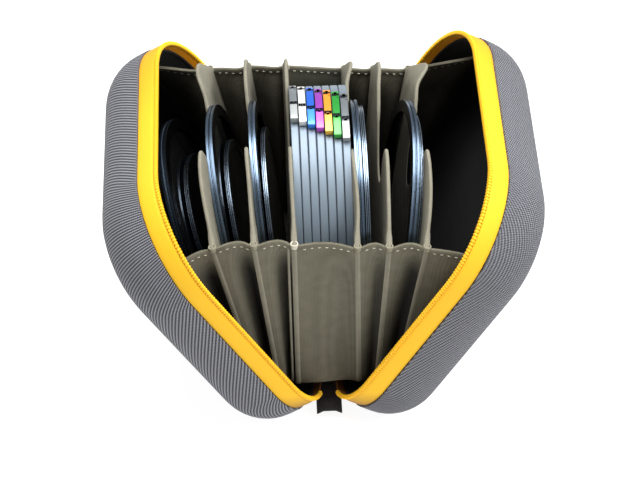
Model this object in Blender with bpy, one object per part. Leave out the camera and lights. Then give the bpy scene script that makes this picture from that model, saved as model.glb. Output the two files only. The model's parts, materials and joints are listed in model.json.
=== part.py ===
"""Lens filter case: a hard-shell zip clamshell that stands open on its hinge
side, with a fabric accordion insert whose pockets hold round filters.

Metres, +Z up. The hinge line runs along Y. The origin is on the floor, below
the middle of the hinge. A shell point is given as (a, b, c): a along the
hinge, b away from it in the plane of the mouth, c from the mouth to the back.
An insert or filter point is given as (a, v, off): v is its height above the
hinge axis and off its distance from the middle plane when the case is shut.
Left is the -X side.
"""
import math

import bmesh
import bpy
from mathutils import Vector

# Case: as long and as high as its filters need, with room for the insert and hands
CASE_SIDE_MARGIN = 0.0135
CASE_HEIGHT_MARGIN = 0.0232
SHELL_SIDE_BAND = 0.0029
TOP_CORNER_R = 0.035
HINGE_CORNER_R = 0.023
BACK_EDGE_R = 0.0192
OPEN_ANGLE = 31.0
HINGE_HALF_GAP = 0.0022
SHELL_WALL = 0.0016
LINING_WALL = 0.0006
SEAM_GAP = 0.0003
LINING_LIP_DEPTH = 0.0030

# Zip
TAPE_VISIBLE = 0.0084
TAPE_RECESS = 0.0007
TAPE_THICKNESS = 0.0010
TEETH_RISE = 0.0013
TEETH_THICKNESS = 0.0020
TEETH_START_ANGLE = 22.0
SLIDER_LENGTH = 0.0070
SLIDER_WIDTH = 0.0066
SLIDER_PLATE = 0.0012
SLIDER_POST_WIDTH = 0.0026
SLIDER_POST_RISE = 0.0026
SLIDER_BELOW_AXIS = 0.0002
BRIDGE_WIDTH = 0.0018
BRIDGE_BAR = 0.0008
BRIDGE_DROP = 0.0034
BRIDGE_EYE = 0.0016
PULL_LENGTH = 0.0125
PULL_WIDTH = 0.0042
PULL_THICKNESS = 0.0010
PULL_WINDOW_WIDTH = 0.0026
PULL_WINDOW_LENGTH = 0.0040

# Hinge webbing
WEBBING_WIDTH = 0.0094
WEBBING_THICKNESS = 0.0012
WEBBING_NEAR_TAIL = 0.0110
WEBBING_TAIL_DROP = 0.0034
WEBBING_RIB = 0.0016

# Insert
DIVIDER_THICKNESS = 0.0006
DIVIDER_MARGIN = 0.0071
DIVIDER_CORNER_R = 0.014
EAR_RISE = 0.016
SEAM_INSET = 0.0006
PLEAT_BOW = 0.0027
PLEAT_FLOOR_BOW_SHARE = 0.12
CENTRE_PLEAT_BOW = 0.0006
FABRIC_THICKNESS = 0.0006
POCKET_FLOOR_CLEARANCE = 0.0005
SHELL_SEAM_NEAR_DROP = 0.023
SHELL_SEAM_FAR_DROP = 0.0105
SHELL_SEAM_TOP_DEPTH = 0.014
SHELL_SEAM_FLOOR_RISE = 0.0043

# Contents
FILTER_GAP = 0.00025
PACK_COUNT = 7
PACK_FILTER_R = 0.0444
PACK_FILTER_THICKNESS = 0.0028
PACK_RIM_WIDTH = 0.0036
ROUND_FILTER_LESS = 0.0019
ROUND_FILTER_THICKNESS = 0.0028
ROUND_RIM_WIDTH = 0.0042
RIM_GROOVE_DEPTH = 0.0005
RIM_GROOVE_WIDTH = 0.0004
CAP_RADIUS_STEP = 0.0005
CAP_THICKNESS = 0.0018
CAP_CHAMFER = 0.0004
GLASS_THICKNESS = 0.0012
GLASS_SEAT_GAP = 0.0003
TAB_ARC = 31.0
TAB_BLOCK_ARC = 12.0
TAB_STEP_ARC = 0.62
TAB_BLOCK_THICKNESS = 0.0025
TAB_PLATE_THICKNESS = 0.0015
TAB_WIDTH = 0.0026
TAB_FIRST_END = -6.6
TAB_LAST_END = -18.5
LEAN_ANGLE = 20.0
LEANING_FILTER_BOTTOM = 0.0108
LEANING_FILTER_OFFSET = 0.0262
LEANING_CAP_BOTTOM = 0.0118
CAP_BOTTOM_RISE = 0.0006

# Open angles of the six dividers, from the left shell to the right one, how far
# the top of each one's side seams lies below the height of the case, and how
# many of them are on the left of the centre pack
DIVIDER_ANGLES = (12.0, 6.0, 0.0, 0.0, 4.0, 9.5)
SEAM_TOP_DROPS = (0.0290, 0.0328, 0.0356, 0.0379, 0.0371, 0.0344)
LEFT_DIVIDER_COUNT = 3

# How many steps each thin disc's radius is smaller than the thick filters'
CAP_RADIUS_SHARES = {1: 17, 2: 16, 3: 12, 5: 3, 6: 5}

# Pairs of discs: pocket, index of the divider they lie against, index of the
# divider with the higher floor, side of the divider, the disc that touches it,
# and how far the pair sits from the middle of the pocket along the case
POCKET_PAIRS = (
    (2, 0, 0, -1, "round", 0.0), (3, 1, 1, -1, "round", 0.0),
    (5, 3, 4, 1, "round", -0.0042), (6, 5, 5, -1, "cap", -0.0038),
)

# Facets: the second step of the back edge lies level when the case stands open
STAND_FLAT_HALF_ANGLE = 9.0
CORNER_STEPS = 6
RING_STEPS = 28
PLEAT_STEPS = 4
SIDE_STEPS = 4
BEND_STEPS = 3
TAB_STEPS = 5

# Top edge of a divider: shares of its half length and of the ear's rise
DIVIDER_TOP_SHARES = (
    (-0.93, 0.12), (-0.78, 0.45), (-0.60, 0.80), (-0.46, 0.97), (-0.34, 1.0),
    (-0.27, 0.90), (-0.23, 0.55), (-0.19, 0.05), (-0.12, -0.45), (0.0, -0.66),
    (0.14, -0.55), (0.28, -0.15), (0.40, 0.27), (0.52, 0.61), (0.62, 0.75),
    (0.72, 0.78), (0.82, 0.64), (0.92, 0.28),
)

DIVIDER_HALF_LENGTH = PACK_FILTER_R + DIVIDER_MARGIN
HALF_LENGTH = DIVIDER_HALF_LENGTH + CASE_SIDE_MARGIN
CASE_HEIGHT = 2 * PACK_FILTER_R + CASE_HEIGHT_MARGIN
OPEN = math.radians(OPEN_ANGLE)
MOUTH_OFFSET = HINGE_HALF_GAP * math.cos(OPEN)
MOUTH_LIFT = HINGE_HALF_GAP * math.sin(OPEN)
FLAT_DEPTH = TAPE_VISIBLE + SHELL_SIDE_BAND
HALF_DEPTH = FLAT_DEPTH + BACK_EDGE_R
INNER_WALL = SHELL_WALL + SEAM_GAP + LINING_WALL
ROUND_FILTER_R = PACK_FILTER_R - ROUND_FILTER_LESS
SHELL_SEAM_FLOOR_DEPTH = HALF_DEPTH - SHELL_SEAM_FLOOR_RISE
SEAM_TOPS = tuple(CASE_HEIGHT - drop for drop in SEAM_TOP_DROPS)
PACK_LEFT_DIVIDER = LEFT_DIVIDER_COUNT - 1
HINGE_HEIGHT = (BACK_EDGE_R * math.cos(math.radians(STAND_FLAT_HALF_ANGLE))
                - BACK_EDGE_R * math.cos(OPEN) + FLAT_DEPTH * math.sin(OPEN))

# Stack of the shut case, from the middle plane outwards
PACK_PITCH = PACK_FILTER_THICKNESS + FILTER_GAP
PACK_HALF = (PACK_COUNT * PACK_PITCH + FILTER_GAP) / 2
POCKET_WIDTH = ROUND_FILTER_THICKNESS + CAP_THICKNESS + 3 * FILTER_GAP
DIVIDER_PITCH = POCKET_WIDTH + DIVIDER_THICKNESS
FIRST_DIVIDER = PACK_HALF + DIVIDER_THICKNESS / 2
DIVIDER_OFFSETS = tuple(FIRST_DIVIDER + step * DIVIDER_PITCH for step in (2, 1, 0, 0, 1, 2))
DIVIDER_SIDES = (-1, -1, -1, 1, 1, 1)


def clear_scene():
    for found in list(bpy.data.objects):
        bpy.data.objects.remove(found, do_unlink=True)


def make_material(name, colour, roughness, metallic=0.0, alpha=1.0):
    material = bpy.data.materials.new(name)
    material.use_nodes = True
    shader = material.node_tree.nodes["Principled BSDF"]
    shader.inputs["Base Color"].default_value = (*colour, 1.0)
    shader.inputs["Roughness"].default_value = roughness
    shader.inputs["Metallic"].default_value = metallic
    shader.inputs["Alpha"].default_value = alpha
    return material


def add_object(name, points, faces, material, smooth_angle=None):
    """An object from points and faces, with its faces turned outwards."""
    mesh = bpy.data.meshes.new(name)
    shape = bmesh.new()
    corners = [shape.verts.new(point) for point in points]
    for face in faces:
        shape.faces.new([corners[index] for index in face])
    bmesh.ops.recalc_face_normals(shape, faces=shape.faces)
    shape.to_mesh(mesh)
    shape.free()
    mesh.materials.append(material)
    if smooth_angle is not None:
        mesh.shade_smooth()
        mesh.set_sharp_from_angle(angle=math.radians(smooth_angle))
    made = bpy.data.objects.new(name, mesh)
    bpy.context.scene.collection.objects.link(made)
    return made


def loft(rings, capped=True, ring_closed=True, rings_closed=False):
    """Points and faces of a skin over rings that have the same count."""
    count = len(rings[0])
    points = [point for ring in rings for point in ring]
    faces = []
    last_ring = len(rings) if rings_closed else len(rings) - 1
    last_point = count if ring_closed else count - 1
    for row in range(last_ring):
        here = row * count
        there = (row + 1) % len(rings) * count
        for column in range(last_point):
            after = (column + 1) % count
            faces.append((here + column, here + after, there + after, there + column))
    if capped:
        faces.append(tuple(range(count)))
        faces.append(tuple(range(len(points) - count, len(points))))
    return points, faces


def shell_point(side, a, b, c):
    return Vector((side * (HINGE_HALF_GAP + b * math.sin(OPEN) + c * math.cos(OPEN)), a,
                   HINGE_HEIGHT + b * math.cos(OPEN) - c * math.sin(OPEN)))


def insert_point(side, a, v, off, angle):
    turn = math.radians(angle)
    return Vector((side * (off * math.cos(turn) + v * math.sin(turn)), a,
                   HINGE_HEIGHT + v * math.cos(turn) - off * math.sin(turn)))


def arc(centre, radius, first, last, steps):
    """Points (a, b) on an arc, at angles in degrees from +a towards +b."""
    found = []
    for step in range(steps + 1):
        angle = math.radians(first + (last - first) * step / steps)
        found.append((centre[0] + radius * math.cos(angle), centre[1] + radius * math.sin(angle)))
    return found


def mouth_outline(inset, hinge_side=True):
    """Closed outline of the case, moved inwards, from the near hinge corner round."""
    top = TOP_CORNER_R
    low = HINGE_CORNER_R
    span = 0.0 if hinge_side else TEETH_START_ANGLE
    steps = CORNER_STEPS if hinge_side else BEND_STEPS
    near_low = arc((-HALF_LENGTH + low, low), low - inset, -90.0 - span, -180.0, steps)
    near_top = arc((-HALF_LENGTH + top, CASE_HEIGHT - top), top - inset, 180.0, 90.0, CORNER_STEPS)
    far_top = arc((HALF_LENGTH - top, CASE_HEIGHT - top), top - inset, 90.0, 0.0, CORNER_STEPS)
    far_low = arc((HALF_LENGTH - low, low), low - inset, 0.0, -90.0 + span, steps)
    return near_low + near_top + far_top + far_low


def back_curve(wall):
    """Depth and inset of each ring round the back edge, for a skin moved in by wall."""
    level = 90.0 - OPEN_ANGLE
    angles = (0.0, (level - STAND_FLAT_HALF_ANGLE) / 2, level - STAND_FLAT_HALF_ANGLE,
              level + STAND_FLAT_HALF_ANGLE, 90.0)
    rings = []
    for angle in reversed(angles):
        turn = math.radians(90.0 - angle)
        radius = BACK_EDGE_R - wall
        rings.append((FLAT_DEPTH + radius * math.sin(turn), BACK_EDGE_R - radius * math.cos(turn)))
    return rings


def inset_at(c, wall):
    """How far in from the outline a skin moved in by wall lies at depth c."""
    if c <= FLAT_DEPTH:
        return wall
    radius = BACK_EDGE_R - wall
    return BACK_EDGE_R - math.sqrt(radius ** 2 - (c - FLAT_DEPTH) ** 2)


def shell_ring(side, c, inset):
    return [shell_point(side, a, b, c) for a, b in mouth_outline(inset)]


def tub(side, rim_depth, outer_wall, inner_wall):
    """Rings of a tub: inner back to inner rim, then outer rim to outer back."""
    inner = [(rim_depth, inner_wall)] + back_curve(inner_wall)
    outer = [(rim_depth, outer_wall)] + back_curve(outer_wall)
    profile = list(reversed(inner)) + outer
    return loft([shell_ring(side, c, inset) for c, inset in profile])


def add_shells(side, prefix, materials):
    points, faces = tub(side, TAPE_VISIBLE, 0.0, SHELL_WALL)
    add_object(prefix + "_shell", points, faces, materials["shell"], 40.0)
    points, faces = tub(side, LINING_LIP_DEPTH, SHELL_WALL + SEAM_GAP, INNER_WALL)
    add_object(prefix + "_lining", points, faces, materials["lining"], 40.0)


def add_zip_half(side, prefix, materials):
    """The tape round the mouth and the row of teeth on its edge."""
    outer = TAPE_RECESS
    inner = TAPE_RECESS + TAPE_THICKNESS
    last = TAPE_VISIBLE - SEAM_GAP
    profile = ((0.0, outer), (last, outer), (last, inner), (0.0, inner))
    rings = [shell_ring(side, c, inset) for c, inset in profile]
    points, faces = loft(rings, capped=False, rings_closed=True)
    add_object(prefix + "_zip_tape", points, faces, materials["tape"], 40.0)
    middle = TAPE_RECESS + TAPE_THICKNESS / 2
    outline_out = mouth_outline(middle - TEETH_THICKNESS / 2, hinge_side=False)
    outline_in = mouth_outline(middle + TEETH_THICKNESS / 2, hinge_side=False)
    sections = []
    for (a_out, b_out), (a_in, b_in) in zip(outline_out, outline_in):
        low = -SEAM_GAP
        high = -SEAM_GAP - TEETH_RISE
        sections.append([shell_point(side, a_out, b_out, low), shell_point(side, a_in, b_in, low),
                         shell_point(side, a_in, b_in, high), shell_point(side, a_out, b_out, high)])
    points, faces = loft(sections)
    add_object(prefix + "_zip_teeth", points, faces, materials["teeth"], 40.0)


def add_hinge_webbing(material):
    """Webbing strip below the hinge, folded like a roof, with the rib sewn to the insert."""
    slope = math.tan(OPEN)
    drop = SEAM_GAP / math.cos(OPEN)
    half = WEBBING_WIDTH / 2
    thickness = WEBBING_THICKNESS
    rib = WEBBING_RIB / 2
    rib_top = divider_bottom(PACK_LEFT_DIVIDER) - SEAM_GAP
    straight = HALF_LENGTH - HINGE_CORNER_R
    ridge = -drop
    edge = -drop - (half - HINGE_HALF_GAP) * slope

    def section(y, fall, top):
        profile = [(-half, edge), (-HINGE_HALF_GAP, ridge), (-rib, ridge), (-rib, top), (rib, top),
                   (rib, ridge), (HINGE_HALF_GAP, ridge), (half, edge),
                   (half, edge - thickness), (HINGE_HALF_GAP, ridge - thickness),
                   (-HINGE_HALF_GAP, ridge - thickness), (-half, edge - thickness)]
        return [Vector((x, y, HINGE_HEIGHT + z - fall)) for x, z in profile]

    low = ridge + thickness / 4
    tail = WEBBING_NEAR_TAIL
    rings = [section(-straight - tail, WEBBING_TAIL_DROP, low),
             section(-straight - tail / 2, WEBBING_TAIL_DROP / 3, low),
             section(-straight - SEAM_GAP, 0.0, low), section(-straight, 0.0, rib_top),
             section(straight, 0.0, rib_top)]
    points, faces = loft(rings)
    add_object("hinge_webbing", points, faces, material)


def box_into(shape, low, high):
    """Add a closed box to a bmesh."""
    made = bmesh.ops.create_cube(shape, size=1.0)
    middle = (Vector(low) + Vector(high)) / 2
    size = Vector(high) - Vector(low)
    for vertex in made["verts"]:
        vertex.co = Vector(tuple(vertex.co[axis] * size[axis] for axis in range(3))) + middle


def solid_from_boxes(name, boxes, material):
    """One solid: the union of boxes, worked out by exact Booleans."""
    made = []
    for number, (low, high) in enumerate(boxes):
        shape = bmesh.new()
        box_into(shape, low, high)
        mesh = bpy.data.meshes.new(name + "_box")
        shape.to_mesh(mesh)
        shape.free()
        piece = bpy.data.objects.new(name if number == 0 else name + "_cutter", mesh)
        bpy.context.scene.collection.objects.link(piece)
        made.append(piece)
    body = made[0]
    body.data.materials.append(material)
    for other in made[1:]:
        join = body.modifiers.new("join", "BOOLEAN")
        join.operation = "UNION"
        join.object = other
        other.hide_render = True
        other.display_type = "WIRE"
    return body


def add_slider(materials):
    """Slider parked at the far end of the zip, with a bridge that holds the pull."""
    start = HALF_LENGTH - HINGE_CORNER_R + SEAM_GAP
    end = start + SLIDER_LENGTH
    top = HINGE_HEIGHT - SLIDER_BELOW_AXIS
    low = top - SLIDER_PLATE
    half = SLIDER_WIDTH / 2
    post = SLIDER_POST_WIDTH / 2
    sunk = SLIDER_PLATE / 2
    bridge = BRIDGE_WIDTH / 2
    eye = BRIDGE_EYE / 2
    bridge_low = low - BRIDGE_DROP
    pivot_y = end - BRIDGE_BAR - eye
    pivot_z = bridge_low + BRIDGE_BAR + eye
    boxes = [((-half, start, low), (half, end, top)),
             ((-post, start + sunk, low + sunk), (post, end - sunk, top + SLIDER_POST_RISE)),
             ((-bridge, pivot_y - eye - BRIDGE_BAR, bridge_low), (bridge, pivot_y - eye, low + sunk)),
             ((-bridge, pivot_y + eye, bridge_low), (bridge, pivot_y + eye + BRIDGE_BAR, low + sunk)),
             ((-bridge, pivot_y - eye - sunk, bridge_low),
              (bridge, pivot_y + eye + sunk, bridge_low + BRIDGE_BAR))]
    solid_from_boxes("zip_slider", boxes, materials["metal"])
    add_pull(pivot_y, pivot_z, materials["metal"])


def add_pull(pivot_y, pivot_z, material):
    """A flat tab whose end bar turns in the slider's bridge, sloping down to the floor."""
    half = PULL_WIDTH / 2
    bar = PULL_THICKNESS / 2
    window = PULL_WINDOW_WIDTH / 2
    outer = ((-half, -bar), (half, -bar), (half, PULL_LENGTH), (-half, PULL_LENGTH))
    inner = ((-window, bar), (window, bar), (window, PULL_WINDOW_LENGTH), (-window, PULL_WINDOW_LENGTH))
    slope = math.asin((pivot_z - bar - SEAM_GAP) / PULL_LENGTH)
    rings = []
    for ring, level in ((outer, -bar), (outer, bar), (inner, bar), (inner, -bar)):
        rings.append([Vector((x, pivot_y + y * math.cos(slope) + level * math.sin(slope),
                              pivot_z - y * math.sin(slope) + level * math.cos(slope)))
                      for x, y in ring])
    points, faces = loft(rings, capped=False, rings_closed=True)
    add_object("zip_pull", points, faces, material)


def divider_bottom(number):
    """Lowest v of a divider, clear of the lining when the case is shut."""
    off = DIVIDER_OFFSETS[number]
    outer_face = off + DIVIDER_THICKNESS / 2 - MOUTH_OFFSET
    return inset_at(outer_face, INNER_WALL) + MOUTH_LIFT + SEAM_GAP


def divider_sides(number, inset, steps=SIDE_STEPS):
    """Points (a, v) down the near edge, along the bottom and up the far edge."""
    low = divider_bottom(number) + inset
    half = DIVIDER_HALF_LENGTH - inset
    radius = DIVIDER_CORNER_R - inset
    top = SEAM_TOPS[number]
    points = []
    for step in range(steps + 1):
        share = step / steps
        points.append((-half, top + (low + radius - top) * share))
    near = arc((-half + radius, low + radius), radius, 180.0, 270.0, BEND_STEPS)
    points.extend(near[1:])
    points.append((0.0, low))
    mirrored = [(-a, v) for a, v in reversed(points[:-1])]
    return points + mirrored


def divider_inward(number):
    """Unit inward directions (a, v) for the points of divider_sides."""
    outer = divider_sides(number, 0.0)
    inner = divider_sides(number, SEAM_INSET)
    found = []
    for (a_out, v_out), (a_in, v_in) in zip(outer, inner):
        step = Vector((a_in - a_out, v_in - v_out))
        if abs(step.x) > SEAM_INSET / 2 and abs(a_out) >= DIVIDER_HALF_LENGTH - SEAM_INSET / 2:
            step = Vector((step.x, 0.0))
        found.append(step.normalized())
    return found


def add_divider(number, material):
    """A fabric leaf with two ears and a dip between them to grasp the filters."""
    outline = divider_sides(number, 0.0)
    top = SEAM_TOPS[number]
    for a_share, rise_share in reversed(DIVIDER_TOP_SHARES):
        outline.append((a_share * DIVIDER_HALF_LENGTH, top + rise_share * EAR_RISE))
    side = DIVIDER_SIDES[number]
    angle = DIVIDER_ANGLES[number]
    rings = []
    for face in (-1, 1):
        off = DIVIDER_OFFSETS[number] + face * DIVIDER_THICKNESS / 2
        rings.append([insert_point(side, a, v, off, angle) for a, v in outline])
    points, faces = loft(rings)
    add_object(f"divider_{number + 1}", points, faces, material)


def seam_line(number, face):
    """World points of the line where a pleat is sewn, on one face of a divider."""
    side = DIVIDER_SIDES[number]
    clearance = DIVIDER_THICKNESS / 2 + SEAM_GAP
    off = DIVIDER_OFFSETS[number] + face * clearance
    return [insert_point(side, a, v, off, DIVIDER_ANGLES[number])
            for a, v in divider_sides(number, SEAM_INSET)]


def lining_line(number, side):
    """World points of the line where an outer pleat is sewn to a lining."""
    count = len(divider_sides(number, SEAM_INSET))
    half = count // 2
    straight = SIDE_STEPS
    low = HINGE_CORNER_R
    top = TOP_CORNER_R
    deepening = SHELL_SEAM_FLOOR_DEPTH - SHELL_SEAM_TOP_DEPTH
    found = []
    for index in range(count):
        rank = min(index, count - 1 - index)
        sign = -1 if index < half else 1
        highest = CASE_HEIGHT - (SHELL_SEAM_NEAR_DROP if index < half else SHELL_SEAM_FAR_DROP)
        c =SHELL_SEAM_TOP_DEPTH + deepening * math.sin(rank / half * math.pi / 2)
        inset = inset_at(c, INNER_WALL) + SEAM_GAP + FABRIC_THICKNESS
        if rank <= straight:
            b = highest + (low - highest) * rank / straight
            wall = HALF_LENGTH - inset
            if b > CASE_HEIGHT - top:
                rise = b - (CASE_HEIGHT - top)
                wall = HALF_LENGTH - top + math.sqrt((top - inset) ** 2 - rise ** 2)
            a_out = sign * wall
        elif rank < half:
            turn = math.radians(90.0 * (rank - straight) / BEND_STEPS)
            a_out = sign * (HALF_LENGTH - low + (low - inset) * math.cos(turn))
            b = low - (low - inset) * math.sin(turn)
        else:
            a_out = 0.0
            b = inset
        found.append(shell_point(side, a_out, b, c))
    return found


def add_pleat(name, first, second, inward, bow, material):
    """A fabric strip between two seam lines, bowed towards the pocket."""
    count = len(first)
    rows = []
    for index in range(count):
        direction = inward[index]
        sag = bow if abs(direction.x) > abs(direction.y) else bow * PLEAT_FLOOR_BOW_SHARE
        row = []
        for step in range(PLEAT_STEPS + 1):
            share = step / PLEAT_STEPS
            point = first[index].lerp(second[index], share)
            depth = sag * 4 * share * (1 - share)
            row.append(point + Vector((0.0, direction.x, direction.y)) * depth)
        rows.append(row)
    points, faces = loft(rows, capped=False, ring_closed=False)
    strip = add_object(name, points, faces, material, 50.0)
    skin = strip.modifiers.new("cloth", "SOLIDIFY")
    skin.thickness = FABRIC_THICKNESS
    skin.offset = 0.0
    skin.use_even_offset = True


def add_insert(materials):
    for number in range(len(DIVIDER_ANGLES)):
        add_divider(number, materials["insert"])
    last = len(DIVIDER_ANGLES) - 1
    for pocket in range(last + 2):
        beside = min(max(pocket - 1, 0), last)
        inward = divider_inward(beside)
        bow = CENTRE_PLEAT_BOW if pocket == PACK_LEFT_DIVIDER + 1 else PLEAT_BOW
        if pocket == 0:
            first, second = lining_line(0, -1), seam_line(0, 1)
        elif pocket == last + 1:
            first, second = seam_line(last, 1), lining_line(last, 1)
        else:
            left_face = DIVIDER_SIDES[pocket - 1]
            right_face = -DIVIDER_SIDES[pocket]
            first, second = seam_line(pocket - 1, left_face), seam_line(pocket, right_face)
        add_pleat(f"pleat_{pocket + 1}", first, second, inward, bow, materials["insert"])


def turned(name, profile, side, centre_v, off, angle, material, closed=True, centre_a=0.0):
    """A body turned round the axis of a disc: profile points are (radius, off)."""
    rings = []
    for step in range(RING_STEPS):
        turn = 2 * math.pi * step / RING_STEPS
        rings.append([insert_point(side, centre_a + radius * math.sin(turn),
                                   centre_v + radius * math.cos(turn), off + along, angle)
                      for radius, along in profile])
    if closed:
        points, faces = loft(rings, capped=False, rings_closed=True)
    else:
        count = len(profile)
        points, faces = loft(rings, capped=False, ring_closed=False, rings_closed=True)
        faces.append(tuple(range(0, RING_STEPS * count, count)))
        faces.append(tuple(range(count - 1, RING_STEPS * count, count)))
    return add_object(name, points, faces, material, 35.0)


def add_glass(name, radius, side, centre_v, off, angle, material, centre_a=0.0):
    half = GLASS_THICKNESS / 2
    profile = ((radius, -half), (radius, half))
    turned(name, profile, side, centre_v, off, angle, material, closed=False, centre_a=centre_a)


def add_pack_filter(number, materials):
    """A thin framed filter of the centre pack, with its coloured tab on the rim."""
    off = (number - (PACK_COUNT - 1) / 2) * PACK_PITCH
    floor = SEAM_INSET + FABRIC_THICKNESS + POCKET_FLOOR_CLEARANCE
    centre = divider_bottom(PACK_LEFT_DIVIDER) + floor + PACK_FILTER_R
    half = PACK_FILTER_THICKNESS / 2
    inner = PACK_FILTER_R - PACK_RIM_WIDTH
    profile = ((PACK_FILTER_R, -half), (PACK_FILTER_R, half), (inner, half), (inner, -half))
    turned(f"pack_frame_{number + 1}", profile, 1, centre, off, 0.0, materials["frame"])
    add_glass(f"pack_glass_{number + 1}", inner - GLASS_SEAT_GAP, 1, centre, off, 0.0, materials["glass"])
    add_tab(number, off, centre, materials)


def add_tab(number, off, centre, materials):
    """A curved tab that hugs the rim: a thick end block and a thinner plate."""
    near_end = TAB_FIRST_END + (TAB_LAST_END - TAB_FIRST_END) * number / (PACK_COUNT - 1)
    far_end = near_end + TAB_ARC
    step_at = near_end + TAB_BLOCK_ARC
    seat = PACK_FILTER_R + SEAM_GAP
    half = TAB_WIDTH / 2
    stations = [(near_end, TAB_BLOCK_THICKNESS), (step_at, TAB_BLOCK_THICKNESS)]
    plate_from = step_at + TAB_STEP_ARC
    for step in range(TAB_STEPS + 1):
        angle = plate_from + (far_end - plate_from) * step / TAB_STEPS
        stations.append((angle, TAB_PLATE_THICKNESS))
    rings = []
    for angle, thickness in stations:
        turn = math.radians(angle)
        ring = []
        for radius, along in ((seat, -half), (seat, half), (seat + thickness, half),
                              (seat + thickness, -half)):
            ring.append(insert_point(1, radius * math.sin(turn), centre + radius * math.cos(turn),
                                     off + along, 0.0))
        rings.append(ring)
    points, faces = loft(rings)
    add_object(f"pack_tab_{number + 1}", points, faces, materials["tabs"][number])


def add_round_filter(pocket, side, off, angle, bottom, materials, centre_a=0.0):
    """A thick filter: two knurled rings with a groove between them, and its glass."""
    centre = bottom + ROUND_FILTER_R
    half = ROUND_FILTER_THICKNESS / 2
    groove = RIM_GROOVE_WIDTH / 2
    inner = ROUND_FILTER_R - ROUND_RIM_WIDTH
    outer = ROUND_FILTER_R
    valley = ROUND_FILTER_R - RIM_GROOVE_DEPTH
    profile = ((outer, -half), (outer, -groove), (valley, 0.0), (outer, groove), (outer, half),
               (inner, half), (inner, -half))
    turned(f"round_frame_{pocket}", profile, side, centre, off, angle, materials["frame"],
           centre_a=centre_a)
    add_glass(f"round_glass_{pocket}", inner - GLASS_SEAT_GAP, side, centre, off, angle,
              materials["glass"], centre_a)


def add_cap(pocket, side, off, angle, bottom, material, centre_a=0.0):
    """A thin disc with chamfered rims that shares the pocket with a thick filter."""
    half = CAP_THICKNESS / 2
    radius = ROUND_FILTER_R - CAP_RADIUS_STEP * CAP_RADIUS_SHARES[pocket]
    rim = radius - CAP_CHAMFER
    profile = ((rim, -half), (radius, -half + CAP_CHAMFER), (radius, half - CAP_CHAMFER), (rim, half))
    turned(f"cap_{pocket}", profile, side, bottom + radius, off, angle, material, closed=False,
           centre_a=centre_a)


def add_contents(materials):
    for number in range(PACK_COUNT):
        add_pack_filter(number, materials)
    face = DIVIDER_THICKNESS / 2 + FILTER_GAP
    round_half = ROUND_FILTER_THICKNESS / 2
    cap_half = CAP_THICKNESS / 2
    both = round_half + FILTER_GAP + cap_half
    floor = SEAM_INSET + FABRIC_THICKNESS + POCKET_FLOOR_CLEARANCE
    for pocket, carrier, higher, direction, nearest, along in POCKET_PAIRS:
        side = DIVIDER_SIDES[carrier]
        angle = DIVIDER_ANGLES[carrier]
        bottom = divider_bottom(higher) + floor
        near_half = round_half if nearest == "round" else cap_half
        near_off = DIVIDER_OFFSETS[carrier] + direction * (face + near_half)
        far_off = near_off + direction * both
        round_off, cap_off = (near_off, far_off) if nearest == "round" else (far_off, near_off)
        add_round_filter(pocket, side, round_off, angle, bottom, materials, along)
        add_cap(pocket, side, cap_off, angle, bottom + CAP_BOTTOM_RISE, materials["cap"], along)
    add_round_filter(1, -1, LEANING_FILTER_OFFSET, LEAN_ANGLE, LEANING_FILTER_BOTTOM, materials)
    add_cap(1, -1, LEANING_FILTER_OFFSET - both, LEAN_ANGLE, LEANING_CAP_BOTTOM, materials["cap"])


def make_materials():
    tab_colours = ((0.36, 0.39, 0.39), (0.90, 0.90, 0.85), (0.06, 0.24, 0.72), (0.45, 0.10, 0.52),
                   (0.80, 0.45, 0.08), (0.05, 0.38, 0.06), (0.32, 0.34, 0.33))
    return {
        "shell": make_material("charcoal_nylon", (0.075, 0.075, 0.082), 0.85),
        "lining": make_material("black_lining", (0.012, 0.012, 0.013), 0.95),
        "tape": make_material("yellow_zip_tape", (0.95, 0.66, 0.03), 0.70),
        "teeth": make_material("yellow_zip_teeth", (0.92, 0.60, 0.02), 0.45),
        "webbing": make_material("black_webbing", (0.015, 0.015, 0.016), 0.80),
        "metal": make_material("gunmetal", (0.08, 0.08, 0.085), 0.35, 1.0),
        "insert": make_material("olive_insert_cloth", (0.18, 0.17, 0.13), 0.90),
        "frame": make_material("blue_black_anodised", (0.045, 0.055, 0.07), 0.35, 0.9),
        "glass": make_material("dark_glass", (0.02, 0.02, 0.03), 0.05),
        "cap": make_material("black_anodised", (0.02, 0.022, 0.028), 0.40, 0.8),
        "tabs": [make_material(f"tab_{number + 1}", colour, 0.35, 0.3)
                 for number, colour in enumerate(tab_colours)],
    }


def main():
    clear_scene()
    materials = make_materials()
    for side, prefix in ((-1, "left"), (1, "right")):
        add_shells(side, prefix, materials)
        add_zip_half(side, prefix, materials)
    add_hinge_webbing(materials["webbing"])
    add_slider(materials)
    add_insert(materials)
    add_contents(materials)


main()
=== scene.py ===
"""Looks of the lens filter case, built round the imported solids, in metres.

A piece of a half is modelled flat, as (a, b, c): a along the hinge, b away from
it in the plane of the mouth, c from the mouth to the back. A leaf or a filter is
modelled as (a, v, off): v up from the hinge, off out from the middle plane. One
matrix then puts it in its place.
"""
import json
import math

import bmesh
import bpy
from mathutils import Matrix, Vector, noise


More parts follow.
